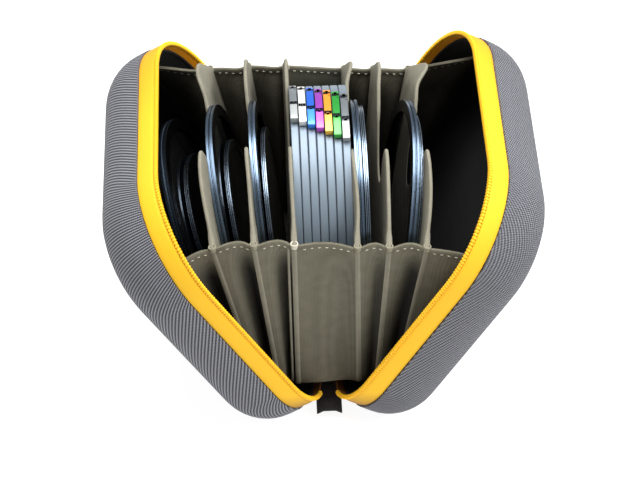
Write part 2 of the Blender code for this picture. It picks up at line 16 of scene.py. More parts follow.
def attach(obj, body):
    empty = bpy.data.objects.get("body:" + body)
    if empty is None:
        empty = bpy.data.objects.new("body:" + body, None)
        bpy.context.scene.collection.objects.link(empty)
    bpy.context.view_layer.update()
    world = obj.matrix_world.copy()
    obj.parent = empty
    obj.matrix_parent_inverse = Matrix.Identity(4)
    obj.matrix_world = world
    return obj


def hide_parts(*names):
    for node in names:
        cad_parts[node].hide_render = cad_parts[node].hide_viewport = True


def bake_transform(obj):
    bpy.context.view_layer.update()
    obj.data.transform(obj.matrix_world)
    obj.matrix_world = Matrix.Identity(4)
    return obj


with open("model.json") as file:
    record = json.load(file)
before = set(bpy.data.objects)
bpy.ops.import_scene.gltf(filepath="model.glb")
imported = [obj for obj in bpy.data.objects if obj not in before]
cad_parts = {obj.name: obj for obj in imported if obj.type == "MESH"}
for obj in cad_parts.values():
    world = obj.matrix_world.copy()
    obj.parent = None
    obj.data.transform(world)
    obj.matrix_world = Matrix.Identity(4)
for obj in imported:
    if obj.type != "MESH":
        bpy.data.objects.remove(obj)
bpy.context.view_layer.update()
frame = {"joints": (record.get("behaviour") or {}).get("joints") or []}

# Case
CASE_LENGTH = 0.130
CASE_HEIGHT = 0.112
HALF_DEPTH = 0.0305
TOP_CORNER_R = 0.035
HINGE_CORNER_R = 0.023
BACK_EDGE_R = 0.0192
OPEN_ANGLE = 31.0
OPEN = math.radians(OPEN_ANGLE)
HINGE_HALF_GAP = 0.0022
HINGE_Z = [j for j in frame["joints"] if j["name"] == "left_shell_fold"][0]["pos_m"][2]
SHELL_WALL = 0.0016
SEAM_GAP = 0.0003
LINING_WALL = 0.0006
LINING_LIP_DEPTH = 0.0030
LINING_PIPING_R = 0.00045
HALF_LENGTH = CASE_LENGTH / 2
FLAT_DEPTH = HALF_DEPTH - BACK_EDGE_R
INNER_WALL = SHELL_WALL + SEAM_GAP + LINING_WALL
CORNER_STEPS = 18
EDGE_STEPS = 12
BACK_CROWN_WIDTH = 0.0018
BACK_CROWN_RISE = 0.00006
# Ribs run where a + slope * b stays the same, in the unfolded cloth
RIB_SLOPE_LEFT = 0.74
RIB_SLOPE_RIGHT = -0.44
RIB_PITCH = 0.00122
RIB_CROSS_PITCH = 0.00075
RIB_RELIEF = 0.00032
LINING_THREAD = 0.0008
LINING_RELIEF = 0.00008

# Zip
TAPE_VISIBLE = 0.0070
TAPE_RECESS = 0.0007
TAPE_THICKNESS = 0.0010
TAPE_BULGE = 0.00025
TEETH_PITCH = 0.0012
TOOTH_LENGTH = 0.0017
TOOTH_WIDTH = 0.00106
TOOTH_RISE = 0.0013
TEETH_START_ANGLE = 22.0
TWILL_PITCH = 0.00045
TWILL_ANGLE = 40.0
TWILL_RELIEF = 0.00006
# Where the tape's brown painted shade is full and where it ends, and where its painted orange shade is
# deepest
TAPE_SHADED_Z = 0.009
TAPE_UNSHADED_Z = 0.024
TAPE_ORANGE_SHADE_Y = 0.055

# Insert
LEAF_HALF_LENGTH = 0.0515
LEAF_CORNER_R = 0.008
LEAF_FLARE_REACH = 0.0112
LEAF_SOLID_THICKNESS = 0.0006
LEAF_THIN = 0.0009
LEAF_THICK = 0.0023
LEAF_EAR = 0.0014
DISC_RISE = 0.0055
SECOND_RIDGE_R = 0.0005
SECOND_RIDGE_OFF = 0.0021
LEAF_EDGE_ROUND = 0.0009
WELT_R = 0.00115
EAR_RISE = 0.016
EAR_FLARE_SHARE = 0.8
EAR_THIN_SHARE = 0.25
LEAF_BORDER_SHARE = 0.25
LEAF_COLUMNS = 64
LEAF_ROWS = 20
LEAF_WAVES_PER_METRE = (60, 45)
WELT_STEPS = 16
WELT_CORNER_STEPS = 9
EAR_STITCH_STEPS = 24
SEAM_INSET = 0.0006
# As shares of a leaf's thickness: half of an ear's stitch, a seam's place and a tack's size
EAR_STITCH_SHARE = 0.53
SEAM_OFF_SHARE = 0.35
TACK_SHARE = 0.52
TACK_TURNS = 4
PLEAT_VALLEY = 0.74
HEM_BOW_SHARE = 0.20
HEM_BOW_END = 0.30
PLEAT_FLOOR_SHARE = 0.12
HEM_ARCH = 0.0020
HEM_ARCH_END = 0.30
CLOTH = 0.0007
HEM_CLOTH = 0.0013
SEAM_NEAR_TOP_B = 0.089
SEAM_FAR_TOP_B = 0.1015
SEAM_TOP_DEPTH = 0.014
SEAM_FLOOR_DEPTH = 0.0262
STITCH_PITCH = 0.0026
STITCH_LENGTH = 0.0018
STITCH_R = 0.00026
STITCH_PROUD = 0.00022
CANVAS_THREAD = 0.00050
CANVAS_RELIEF = 0.00010

# Filters
FILTER_GAP = 0.00025
PACK_COUNT = 7
PACK_R = 0.0444
DISC_THICKNESS = 0.0028
PACK_RIM = 0.0036
PACK_EDGE = 0.00028
PACK_STEPS = 128
ROUND_R = 0.0425
ROUND_RIM = 0.0042
ROUND_EDGE = 0.0002
ROUND_GROOVE_HALF = 0.00018
ROUND_GROOVE_DEPTH = 0.0007
ROUND_BRIGHT_DEPTH = 0.0012
GLASS_THICKNESS = 0.0012
GLASS_SEAT_GAP = 0.0003
CAP_RADII = {1: 0.0340, 2: 0.0345, 3: 0.0365, 5: 0.0410, 6: 0.0400}
CAP_THICKNESS = 0.0018
CAP_GROOVE_DEPTH = 0.0004
CAP_LIP = 0.0030
CAP_BOTTOM_RISE = 0.0006
POCKET_FLOOR_CLEARANCE = 0.0005
PLEAT_SOLID_THICKNESS = 0.0006
KNURL_COUNT = 264
KNURL_DEPTH = 0.00016
ROUND_STEPS = KNURL_COUNT // 2
CAP_STEPS = 112
TAB_ARC = 31.0
TAB_BLOCK_ARC = 9.3
TAB_BLOCK = 0.0025
TAB_PLATE = 0.0015
TAB_WIDTH = 0.0026
TAB_HOLE_STRETCH = 1.6
TAB_HOLE_SHARE = 0.24
TAB_STEPS = 14
TAB_FIRST_END = -6.6
TAB_LAST_END = -18.5
LEAN_ANGLE = 20.0
LEANING_FILTER_BOTTOM = 0.0108
LEANING_FILTER_OFFSET = 0.0262
LEANING_CAP_BOTTOM = 0.0118
PAIR_5_SHIFT = -0.0042
PAIR_6_SHIFT = -0.0038

PACK_PITCH = DISC_THICKNESS + FILTER_GAP
FIRST_LEAF = (PACK_COUNT * PACK_PITCH + FILTER_GAP) / 2 + LEAF_SOLID_THICKNESS / 2
LEAF_PITCH = DISC_THICKNESS + CAP_THICKNESS + 3 * FILTER_GAP + LEAF_SOLID_THICKNESS
MOUTH_OFFSET = HINGE_HALF_GAP * math.cos(OPEN)
MOUTH_LIFT = HINGE_HALF_GAP * math.sin(OPEN)

# Leaves from the left: side, angle, steps of pitch from the pack, height of the side
# seams' tops along the leaf, and how far the far and the near ear flare from the pack
LEAVES = (
    (-1, 12.0, 2, 0.0830, 0.0018, 0.0006), (-1, 6.0, 1, 0.0792, -0.0002, -0.0004),
    (-1, 0.0, 0, 0.0764, 0.0, 0.0), (1, 0.0, 0, 0.0741, 0.0024, 0.0018),
    (1, 4.0, 1, 0.0749, 0.0008, 0.0), (1, 9.5, 2, 0.0776, 0.0047, 0.0016),
)
LEAF_BODIES = ("leaf_1", "leaf_2", "spine", "spine", "leaf_5", "leaf_6")
LEAF_TOP_SHARES = (
    (-1.0, 0.0), (-0.93, 0.12), (-0.78, 0.45), (-0.60, 0.80), (-0.46, 0.97), (-0.34, 1.0),
    (-0.27, 0.90), (-0.23, 0.55), (-0.19, 0.05), (-0.12, -0.45), (0.0, -0.66), (0.14, -0.55),
    (0.28, -0.15), (0.40, 0.27), (0.52, 0.61), (0.62, 0.75), (0.72, 0.78), (0.82, 0.64),
    (0.92, 0.28), (1.0, 0.0),
)
# Down one side of a pleat, as shares of its height: the hem's rows come first
PLEAT_SIDE_SHARES = (0.0, 0.006, 0.014, 0.023, 0.027, 0.033, 0.065, 0.12, 0.21, 0.31, 0.42,
                     0.52, 0.62, 0.72, 0.82, 0.91, 1.0)
HEM_THICKNESS_SHARES = (0.7, 1.0, 1.0, 1.0, 0.9, 0.55)
HEM_STITCH_ROW = 4
HEM_STITCH_MARGIN = 0.0003
EAR_STITCH_SHARES = ((-0.95, -0.30), (0.45, 0.95))
# Painted shade in the fold of each pleat: towards its right side, and towards its foot. A far side has
# one painted shade all over, and a hem stays lit, without painted shade.
PLEAT_SHADES = ((0.9, 0.45), (1.0, 0.25), (0.9, 0.20), (0.10, 0.06), (0.55, 0.35), (0.85, 0.55),
                (0.80, 0.65))
SHADE_START_SHARE = 0.2
SHADE_WIDTH_SHARE = 0.7
FAR_SHADE = 0.55
HEM_LIT_SHARE = 0.03
HEM_FADE_SHARE = 0.17
PLEAT_CORNER_STEPS = 8
PLEAT_FLOOR_STEPS = 4
PLEAT_COLUMNS = 12

# Tab plate colours, and for the raised block a lighter copy of each as painted light
PLATE_COLOURS = ("73797D", "DADAD4", "1F5FD0", "9038A8", "E8952A", "209030", "6C7276")
LIT_BLOCK_COLOURS = ("A8ACAC", "F4F4EE", "3F8FF0", "D060E0", "FFCC50", "50C050", "A8ACAC")


def leaf_matrix(side, angle, gap=0.0):
    """Puts (a, v, off) of a leaf or filter in the world, moved out sideways by a gap."""
    across, down = math.cos(math.radians(angle)), math.sin(math.radians(angle))
    return Matrix(((0, side * down, side * across, side * gap), (1, 0, 0, 0),
                   (0, across, -down, HINGE_Z), (0, 0, 0, 1)))


def half_matrix(side):
    """Puts (a, b, c) of a half in the world."""
    return leaf_matrix(side, OPEN_ANGLE, HINGE_HALF_GAP)


# Materials


def linear(text):
    """An sRGB hex colour as linear values."""
    found = []
    for start in (0, 2, 4):
        value = int(text[start:start + 2], 16) / 255
        found.append(value / 12.92 if value <= 0.04045 else ((value + 0.055) / 1.055) ** 2.4)
    return (*found, 1.0)


def add_node(tree, kind, inputs=None, **settings):
    """Adds a node. An input is a value or another node's output."""
    node = tree.nodes.new(kind)
    for name, value in settings.items():
        setattr(node, name, value)
    for name, value in (inputs or {}).items():
        if isinstance(value, bpy.types.NodeSocket):
            tree.links.new(value, node.inputs[name])
        else:
            node.inputs[name].default_value = value
    return node


def new_material(name, **values):
    """A material with its shader, and values for the shader's sockets."""
    made = bpy.data.materials.new(name)
    made.use_nodes = True
    shader = made.node_tree.nodes["Principled BSDF"]
    for socket, value in values.items():
        shader.inputs[socket.replace("_", " ")].default_value = value
    return made, made.node_tree, shader


def cloth_map(tree):
    """The piece's own map, in which its cloth lies flat."""
    return add_node(tree, "ShaderNodeUVMap", uv_map="cloth").outputs[0]


def own_place(tree):
    """Places on the piece, in metres."""
    return add_node(tree, "ShaderNodeTexCoord").outputs["Object"]


def bands(tree, where, pitch, direction):
    """Bands across a direction that repeat at a pitch in metres."""
    scale = 2 * math.pi / (20 * pitch)
    return add_node(tree, "ShaderNodeTexWave", {"Vector": where, "Scale": scale},
                    bands_direction=direction).outputs[1]


def combined(tree, operation, first, second):
    """Two values added or multiplied."""
    return add_node(tree, "ShaderNodeMath", {0: first, 1: second}, operation=operation).outputs[0]


def share_between(tree, value, low, high):
    """Goes from 0 to 1 as the value goes from low to high."""
    return add_node(tree, "ShaderNodeMapRange", {"Value": value, 1: low, 2: high}).outputs[0]


def emboss(tree, shader, height, relief, strength):
    """Shades the surface as if the weave stood up by its relief."""
    bump = add_node(tree, "ShaderNodeBump", {"Height": height, "Distance": relief, "Strength": strength})
    tree.links.new(bump.outputs[0], shader.inputs["Normal"])


def satin(tree, shader, scale, low, high):
    """Roughness between two values, with a fine grain."""
    grain = add_node(tree, "ShaderNodeTexNoise", {"Vector": own_place(tree), "Scale": scale}).outputs[0]
    rough = add_node(tree, "ShaderNodeMapRange", {"Value": grain, 3: low, 4: high}).outputs[0]
    tree.links.new(rough, shader.inputs["Roughness"])


def colour_between(tree, share, low, high):
    """Colour from low to high as share goes from 0 to 1."""
    low, high = (linear(end) if isinstance(end, str) else end for end in (low, high))
    return add_node(tree, "ShaderNodeMix", {"Factor": share, 6: low, 7: high},
                    data_type="RGBA").outputs[2]


def ribbed_nylon(name, bias, dots):
    """Ballistic nylon over moulded foam: raised ribs, matt. The more the cross threads count,
    the more the ribs break up into dots."""
    made, tree, shader = new_material(name, Roughness=0.78)
    turned = add_node(tree, "ShaderNodeMapping", {"Vector": cloth_map(tree),
                      "Rotation": (0, 0, bias)}).outputs[0]
    fine = combined(tree, "MULTIPLY", bands(tree, turned, RIB_CROSS_PITCH, "Y"), dots)
    height = combined(tree, "ADD", bands(tree, turned, RIB_PITCH, "X"), fine)
    # Painted shade and light: dark in the grooves between the ribs, light on the rib tops
    share = share_between(tree, height, 0.15, 0.85 + dots)
    tree.links.new(colour_between(tree, share, "25252A", "94959D"), shader.inputs["Base Color"])
    emboss(tree, shader, height, RIB_RELIEF, 1.0)
    return made


def twill_tape(name, low, high, hinge_shade, shaded):
    """Dyed polyester zip tape: fine diagonal twill, with painted shade: deeper orange towards the far end
    and brown where it is folded tight at the hinge."""
    made, tree, shader = new_material(name, Roughness=0.75)
    turned = add_node(tree, "ShaderNodeMapping", {"Vector": cloth_map(tree),
                      "Rotation": (0, 0, math.radians(TWILL_ANGLE))}).outputs[0]
    lines = bands(tree, turned, TWILL_PITCH, "X")
    spot = add_node(tree, "ShaderNodeSeparateXYZ", {"Vector": own_place(tree)})
    # Painted shade: deeper orange towards the far end
    far = share_between(tree, spot.outputs["Y"], 0.0, TAPE_ORANGE_SHADE_Y)
    # Share out of the brown painted shade at the hinge, rising with height
    clean = share_between(tree, spot.outputs["Z"], TAPE_SHADED_Z, TAPE_UNSHADED_Z)
    # The dyed twill with the painted orange shade laid over it
    dyed = colour_between(tree, far, colour_between(tree, lines, low, high), shaded)
    tree.links.new(colour_between(tree, clean, hinge_shade, dyed), shader.inputs["Base Color"])
    emboss(tree, shader, lines, TWILL_RELIEF, 0.5)
    return made


def woven(name, low, high, thread, roughness, relief, sheen=0.0, folded=None):
    """Plain woven cloth: threads both ways, on whichever way a face looks, and a faint mottle.
    A colour given for folded is painted shade: the cloth darkens to it as the u of its map goes from 0 to
    1."""
    made, tree, shader = new_material(name, Roughness=roughness, Sheen_Weight=sheen)
    where = own_place(tree)
    along_x, along_y, along_z = (bands(tree, where, thread, axis) for axis in "XYZ")
    total = combined(tree, "ADD", combined(tree, "ADD", along_x, along_y), along_z)
    weave = combined(tree, "MULTIPLY", total, 1 / 3)
    mottle = add_node(tree, "ShaderNodeTexNoise", {"Vector": where, "Scale": 260.0,
                      "Detail": 3.0}).outputs[0]
    share = add_node(tree, "ShaderNodeMix", {0: 0.5, 2: weave, 3: mottle}).outputs[0]
    colour = colour_between(tree, share, low, high)
    if folded:
        # Painted shade, read from the u of the cloth map
        shaded = add_node(tree, "ShaderNodeSeparateXYZ", {"Vector": cloth_map(tree)}).outputs["X"]
        colour = colour_between(tree, shaded, colour, folded)
    tree.links.new(colour, shader.inputs["Base Color"])
    emboss(tree, shader, weave, relief, 0.6)
    return made


def anodised(name, colour, roughness, metallic=1.0):
    """Turned and anodised aluminium: satin, with a faint grain from the blasting."""
    made, tree, shader = new_material(name, Base_Color=linear(colour), Metallic=metallic)
    satin(tree, shader, 2200.0, roughness - 0.05, roughness + 0.06)
    return made


def lacquer(name, colour):
    """Anodised and dyed tab: satin colour with a thin clear gloss."""
    made, tree, shader = new_material(name, Base_Color=linear(colour), Metallic=0.25, Coat_Weight=0.3)
    satin(tree, shader, 1800.0, 0.32, 0.42)
    return made


def coated_glass(name):
    """Neutral density glass with a hard coating: nearly black, and a clean reflection."""
    made, tree, shader = new_material(name, Roughness=0.04, IOR=1.52, Coat_Weight=0.6)
    cloud = add_node(tree, "ShaderNodeTexNoise", {"Vector": own_place(tree), "Scale": 18.0}).outputs[0]
    tree.links.new(colour_between(tree, cloud, "050608", "0B0D12"), shader.inputs["Base Color"])
    return made


# Modelling


def start_piece(name, operator, **settings):
    """Adds a primitive, with nothing else selected."""
    bpy.ops.object.select_all(action="DESELECT")
    operator(**settings)
    made = bpy.context.object
    made.name = name
    return made


def in_edit(piece, mode="VERT"):
    """Opens a piece in edit mode with nothing selected, and gives its bmesh."""
    bpy.ops.object.mode_set(mode="EDIT")
    bpy.ops.mesh.select_mode(type=mode)
    bpy.ops.mesh.select_all(action="DESELECT")
    return bmesh.from_edit_mesh(piece.data)


def select_where(piece, items, test):
    """Selects the verts, edges or faces that pass a test."""
    for item in items:
        item.select_set(test(item))
    bmesh.update_edit_mesh(piece.data)


def finish_edit():
    """Back to object mode, with the shape kept."""
    bpy.ops.object.mode_set(mode="OBJECT")


def bevel_where(piece, test, width, segments):
    """Bevels the edges whose two ends differ in height by what the test asks."""
    edit = in_edit(piece, "EDGE")
    select_where(piece, edit.edges, lambda e: test(abs(e.verts[0].co.z - e.verts[1].co.z)))
    bpy.ops.mesh.bevel(offset=width, segments=segments)
    finish_edit()


def apply_modifier(piece, kind, **settings):
    """Shapes a piece with a modifier and applies it."""
    bpy.context.view_layer.objects.active = piece
    modifier = piece.modifiers.new("shape", kind)
    for name, value in settings.items():
        setattr(modifier, name, value)
    bpy.ops.object.modifier_apply(modifier=modifier.name)


def soften(piece, width):
    """Breaks the sharp edges of a piece."""
    apply_modifier(piece, "BEVEL", width=width, segments=2, limit_method="ANGLE",
                   angle_limit=math.radians(50))


def remove(*pieces):
    """Takes helper pieces out of the scene."""
    for piece in pieces:
        bpy.data.objects.remove(piece, do_unlink=True)


def cut(piece, *cutters):
    """Cuts pieces out of another one and removes them."""
    for cutter in cutters:
        apply_modifier(piece, "BOOLEAN", operation="DIFFERENCE", object=cutter, solver="EXACT")
    remove(*cutters)


def join(pieces):
    """Joins pieces into the first one."""
    bpy.ops.object.select_all(action="DESELECT")
    for piece in pieces:
        piece.select_set(True)
    bpy.context.view_layer.objects.active = pieces[0]
    bpy.ops.object.join()
    return pieces[0]


def place(piece, matrix):
    """Moves a mesh into the world, with its faces still outwards."""
    piece.data.transform(piece.matrix_world)
    piece.matrix_world = Matrix.Identity(4)
    piece.data.transform(matrix)
    if matrix.determinant() < 0:
        piece.data.flip_normals()


def copy_of(piece, name, matrix):
    """A copy with its own mesh, put in place."""
    made = piece.copy()
    made.data = piece.data.copy()
    made.name = name
    bpy.context.scene.collection.objects.link(made)
    place(made, matrix)
    return made


def dress(piece, materials, body, node, smooth=40.0):
    """Materials, shading, body, solid and material slot of a finished piece."""
    for material in materials:
        piece.data.materials.append(material)
    bpy.ops.object.select_all(action="DESELECT")
    piece.select_set(True)
    bpy.context.view_layer.objects.active = piece
    bpy.ops.object.shade_smooth_by_angle(angle=math.radians(smooth))
    if body is not None:
        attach(piece, body)
    if node is not None:
        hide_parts(node)
    return piece


def add_mesh(name, mesh):
    """An object in the scene with a mesh."""
    made = bpy.data.objects.new(name, mesh)
    bpy.context.scene.collection.objects.link(made)
    return made


def skin(name, rows, rows_closed=False, capped=True, uv=None):
    """A mesh over rings of points that have the same count."""
    count = len(rows[0])
    points = [point for row in rows for point in row]
    faces = []
    marks = []
    for row in range(len(rows) if rows_closed else len(rows) - 1):
        for column in range(count):
            here = [(row, column), (row, column + 1), (row + 1, column + 1), (row + 1, column)]
            faces.append([(r % len(rows)) * count + c % count for r, c in here])
            marks.append(here)
    if capped:
        faces.append(list(range(count)))
        faces.append(list(range(len(points) - count, len(points))))
        marks.extend([[(0, column) for column in range(count)],
                      [(len(rows) - 1, column) for column in range(count)]])
    mesh = bpy.data.meshes.new(name)
    mesh.from_pydata([tuple(point) for point in points], [], faces)
    if uv:
        layer = mesh.uv_layers.new(name="cloth")
        spots = [uv(row, column) for mark in marks for row, column in mark]
        layer.data.foreach_set("uv", [value for spot in spots for value in spot])
    shape = bmesh.new()
    shape.from_mesh(mesh)
    bmesh.ops.recalc_face_normals(shape, faces=shape.faces)
    shape.to_mesh(mesh)
    shape.free()
    return add_mesh(name, mesh)


def sheet_solid(name, grid, thickness, uv=None):
    """A closed sheet over a grid of points, with a thickness for each row and column."""
    last_row, last_column = len(grid) - 1, len(grid[0]) - 1
    rows = []
    for r, line in enumerate(grid):
        front, back = [], []
        for c, point in enumerate(line):
            along = grid[min(r + 1, last_row)][c] - grid[max(r - 1, 0)][c]
            across = line[min(c + 1, last_column)] - line[max(c - 1, 0)]
            push = along.cross(across).normalized() * thickness(r, c) / 2
            front.append(point + push)
            back.append(point - push)
        rows.append(front + back[::-1])
    columns = list(range(last_column + 1))
    around = columns + columns[::-1] + columns[:1]

    def on_both_faces(row, column):
        return uv(row, around[column])

    return skin(name, rows, uv=on_both_faces if uv else None)


def stamp(name, template, matrices):
    """One mesh with a copy of the template at each matrix."""
    source = [vertex.co.copy() for vertex in template.data.vertices]
    shape = [list(face.vertices) for face in template.data.polygons]
    points, faces = [], []
    for matrix in matrices:
        base = len(points)
        points.extend(tuple(matrix @ point) for point in source)
        faces.extend([base + index for index in face] for face in shape)
    mesh = bpy.data.meshes.new(name)
    mesh.from_pydata(points, [], faces)
    return add_mesh(name, mesh)


def axes_matrix(place_at, along, up):
    """Local X along, local Z up, at a place."""
    x = along.normalized()
    y = up.cross(x).normalized()
    z = x.cross(y)
    matrix = Matrix((x, y, z)).transposed().to_4x4()
    matrix.translation = place_at
    return matrix


def distances(points):
    """How far along a line of points each of them lies."""
    found = [0.0]
    for before, after in zip(points, points[1:]):
        found.append(found[-1] + (after - before).length)
    return found


def direction_at(points, index):
    """Direction of a line of points at one of them."""
    return (points[min(index + 1, len(points) - 1)] - points[max(index - 1, 0)]).normalized()


def resample(points, pitch, margin=0.0):
    """Places and directions at even steps along a line of points."""
    lengths = distances(points)
    room = lengths[-1] - 2 * margin
    count = max(1, int(room / pitch))
    start = margin + (room - count * pitch) / 2 + pitch / 2
    found = []
    index = 0
    for number in range(count):
        goal = start + number * pitch
        while index < len(points) - 2 and lengths[index + 1] < goal:
            index += 1
        share = (goal - lengths[index]) / (lengths[index + 1] - lengths[index])
        step = points[index + 1] - points[index]
        found.append((points[index] + step * share, step.normalized()))
    return found


def outline(inset, left_out=0.0):
    """Outline (a, b) of the case moved inwards, with an angle left out at the hinge."""
    top, low = TOP_CORNER_R, HINGE_CORNER_R
    corners = (((-HALF_LENGTH + low, low), low, 270.0 - left_out, 180.0),
               ((-HALF_LENGTH + top, CASE_HEIGHT - top), top, 180.0, 90.0),
               ((HALF_LENGTH - top, CASE_HEIGHT - top), top, 90.0, 0.0),
               ((HALF_LENGTH - low, low), low, 0.0, -90.0 + left_out))
    points = []
    for (a, b), radius, first, last in corners:
        for step in range(CORNER_STEPS + 1):
            turn = math.radians(first + (last - first) * step / CORNER_STEPS)
            points.append((a + (radius - inset) * math.cos(turn), b + (radius - inset) * math.sin(turn)))
    return points


def wall_at(a, b):
    """Outward direction and inset of a place (a, b) beside the case's outline."""
    for radius, centre_b, beyond in ((TOP_CORNER_R, CASE_HEIGHT - TOP_CORNER_R, 1),
                                     (HINGE_CORNER_R, HINGE_CORNER_R, -1)):
        centre_a = math.copysign(HALF_LENGTH - radius, a)
        away = Vector((a - centre_a, b - centre_b))
        if away.x * centre_a > 0 and away.y * beyond > 0:
            return away.normalized(), radius - away.length
    sides = ((HALF_LENGTH - abs(a), Vector((math.copysign(1.0, a), 0.0))),
             (b, Vector((0.0, -1.0))), (CASE_HEIGHT - b, Vector((0.0, 1.0))))
    inset, away = min(sides, key=lambda side: side[0])
    return away, inset


def unfolded(point, wall):
    """Where a place on a moulded skin lies in the flat cloth."""
    away, inset = wall_at(point.x, point.y)
    radius = BACK_EDGE_R - wall
    reach = BACK_EDGE_R - inset
    if reach <= 0:
        return point.x, point.y
    if point.z <= FLAT_DEPTH:
        travel = radius * math.pi / 2 + FLAT_DEPTH - point.z
    else:
        travel = radius * math.atan2(reach, point.z - FLAT_DEPTH)
    flat = Vector((point.x, point.y)) + away * (travel - reach)
    return flat.x, flat.y


def moulded_tub(name, mouth, wall, thickness):
    """A half's moulded skin: an outline with round corners, drawn out and turned in at the back."""
    made = start_piece(name, bpy.ops.mesh.primitive_plane_add, size=1.0, location=(0, 0, 0))
    made.scale = (CASE_LENGTH - 2 * wall, CASE_HEIGHT - 2 * wall, 1.0)
    made.location = (0.0, CASE_HEIGHT / 2, mouth)
    bpy.ops.object.transform_apply()
    for radius, high in ((HINGE_CORNER_R, False), (TOP_CORNER_R, True)):
        edit = in_edit(made)
        upwards = sorted(edit.verts, key=lambda v: v.co.y)
        ends = upwards[-2:] if high else upwards[:2]
        select_where(made, edit.verts, lambda v: v in ends)
        bpy.ops.mesh.bevel(offset=radius - wall, segments=CORNER_STEPS, affect="VERTICES",
                           clamp_overlap=False)
        finish_edit()
    in_edit(made, "FACE")
    bpy.ops.mesh.select_all(action="SELECT")
    bpy.ops.mesh.extrude_region_move(TRANSFORM_OT_translate={"value": (0, 0, FLAT_DEPTH - mouth)})
    radius = BACK_EDGE_R - wall
    for step in range(EDGE_STEPS):
        before = math.pi / 2 * step / EDGE_STEPS
        after = math.pi / 2 * (step + 1) / EDGE_STEPS
        bpy.ops.mesh.inset(thickness=radius * (math.cos(before) - math.cos(after)),
                           depth=radius * (math.sin(after) - math.sin(before)))
    bpy.ops.mesh.inset(thickness=BACK_CROWN_WIDTH, depth=BACK_CROWN_RISE)
    edit = bmesh.from_edit_mesh(made.data)
    edge = mouth + SEAM_GAP / 10
    select_where(made, edit.faces, lambda f: all(v.co.z < edge for v in f.verts))
    bpy.ops.mesh.delete(type="ONLY_FACE")
    bpy.ops.mesh.select_all(action="SELECT")
    bpy.ops.mesh.normals_make_consistent(inside=False)
    finish_edit()
    mesh = made.data
    layer = mesh.uv_layers.get("UVMap") or mesh.uv_layers.new()
    layer.name = "cloth"
    for loop in mesh.loops:
        layer.data[loop.index].uv = unfolded(mesh.vertices[loop.vertex_index].co, wall)
    apply_modifier(made, "SOLIDIFY", thickness=thickness, offset=-1.0, use_even_offset=True)
    return made


def zip_tape(name):
    """The tape's closed section, swept round the mouth."""
    outer = TAPE_RECESS
    inner = TAPE_RECESS + TAPE_THICKNESS
    last = TAPE_VISIBLE - SEAM_GAP
    rim = TAPE_THICKNESS / 3
    section = []
    for share in (1.0, 0.94, 0.8, 0.6, 0.4, 0.2, 0.07):
        section.append((last * share, outer - TAPE_BULGE * math.sin(math.pi * share) ** 0.5))
    section += [(rim / 4, outer + rim / 4), (0.0, outer + rim), (0.0, inner - rim),
                (rim / 4, inner - rim / 4), (rim, inner), (last / 2, inner), (last, inner)]
    rows = [[Vector((a, b, c)) for a, b in outline(inset)] for c, inset in section]
    along = distances(rows[0] + rows[0][:1])
    across_tape = distances([Vector(spot) for spot in section + section[:1]])
    return skin(name, rows, rows_closed=True, capped=False,
                uv=lambda row, column: (along[column], across_tape[row]))


def zip_teeth(name, tooth):
    """A row of coil turns on the mouth's edge, and the cord that they wind round."""
    middle = TAPE_RECESS + TAPE_THICKNESS / 2
    line = [Vector((a, b, -SEAM_GAP / 5 - TOOTH_RISE / 2)) for a, b in outline(middle, TEETH_START_ANGLE)]
    matrices = []
    for point, direction in resample(line, TEETH_PITCH):
        matrices.append(axes_matrix(point, direction.cross(Vector((0, 0, 1))), Vector((0, 0, 1))))
    teeth = stamp(name, tooth, matrices)
    return join([teeth, tube(name + "_cord", line, TOOTH_RISE * 0.40, 6)])


def tube(name, line, radius, sides):
    """A round tube along a line of points."""
    rows = []
    for index, point in enumerate(line):
        along = direction_at(line, index)
        side = along.orthogonal() if not rows else along.cross(last_side.cross(along))
        last_side = side.normalized()
        up = along.cross(last_side)
        rows.append([point + (last_side * math.cos(2 * math.pi * k / sides)
                              + up * math.sin(2 * math.pi * k / sides)) * radius
                     for k in range(sides)])
    return skin(name, rows)


# Insert


def leaf_offset(leaf):
    """How far a leaf lies out from the plane through the hinge at its angle."""
    return FIRST_LEAF + LEAVES[leaf][2] * LEAF_PITCH


def wall_inset(c, wall):
    """How far in from the outline a skin moved in by wall lies at depth c."""
    if c <= FLAT_DEPTH:
        return wall
    return BACK_EDGE_R - math.sqrt((BACK_EDGE_R - wall) ** 2 - (c - FLAT_DEPTH) ** 2)


def leaf_floor(leaf):
    """Lowest v of a leaf, clear of the lining when the case is shut."""
    outer_face = leaf_offset(leaf) + LEAF_SOLID_THICKNESS / 2 - MOUTH_OFFSET
    return wall_inset(outer_face, INNER_WALL) + MOUTH_LIFT + SEAM_GAP


def seam_top(leaf):
    """Height along a leaf where its side seams end."""
    return LEAVES[leaf][3]


def smooth_step(value):
    """Goes from 0 to 1 with a soft start and end."""
    value = min(max(value, 0.0), 1.0)
    return value * value * (3 - 2 * value)


def top_share(share):
    """Height of a leaf's top edge, as a smooth line through its given points."""
    marks = LEAF_TOP_SHARES
    share = min(max(share, -1.0), 1.0)
    index = max(i for i in range(len(marks) - 1) if marks[i][0] <= share)

    def slope(i):
        before, after = marks[max(i - 1, 0)], marks[min(i + 1, len(marks) - 1)]
        return (after[1] - before[1]) / (after[0] - before[0])

    (x_0, y_0), (x_1, y_1) = marks[index], marks[index + 1]
    width = x_1 - x_0
    t = (share - x_0) / width
    return ((2 * t ** 3 - 3 * t ** 2 + 1) * y_0 + (t ** 3 - 2 * t ** 2 + t) * width * slope(index)
            + (-2 * t ** 3 + 3 * t ** 2) * y_1 + (t ** 3 - t ** 2) * width * slope(index + 1))


def leaf_top(leaf, a):
    """Height of a leaf's upper edge: an ear at each end and a dip between them."""
    return seam_top(leaf) + EAR_RISE * top_share(a / LEAF_HALF_LENGTH)


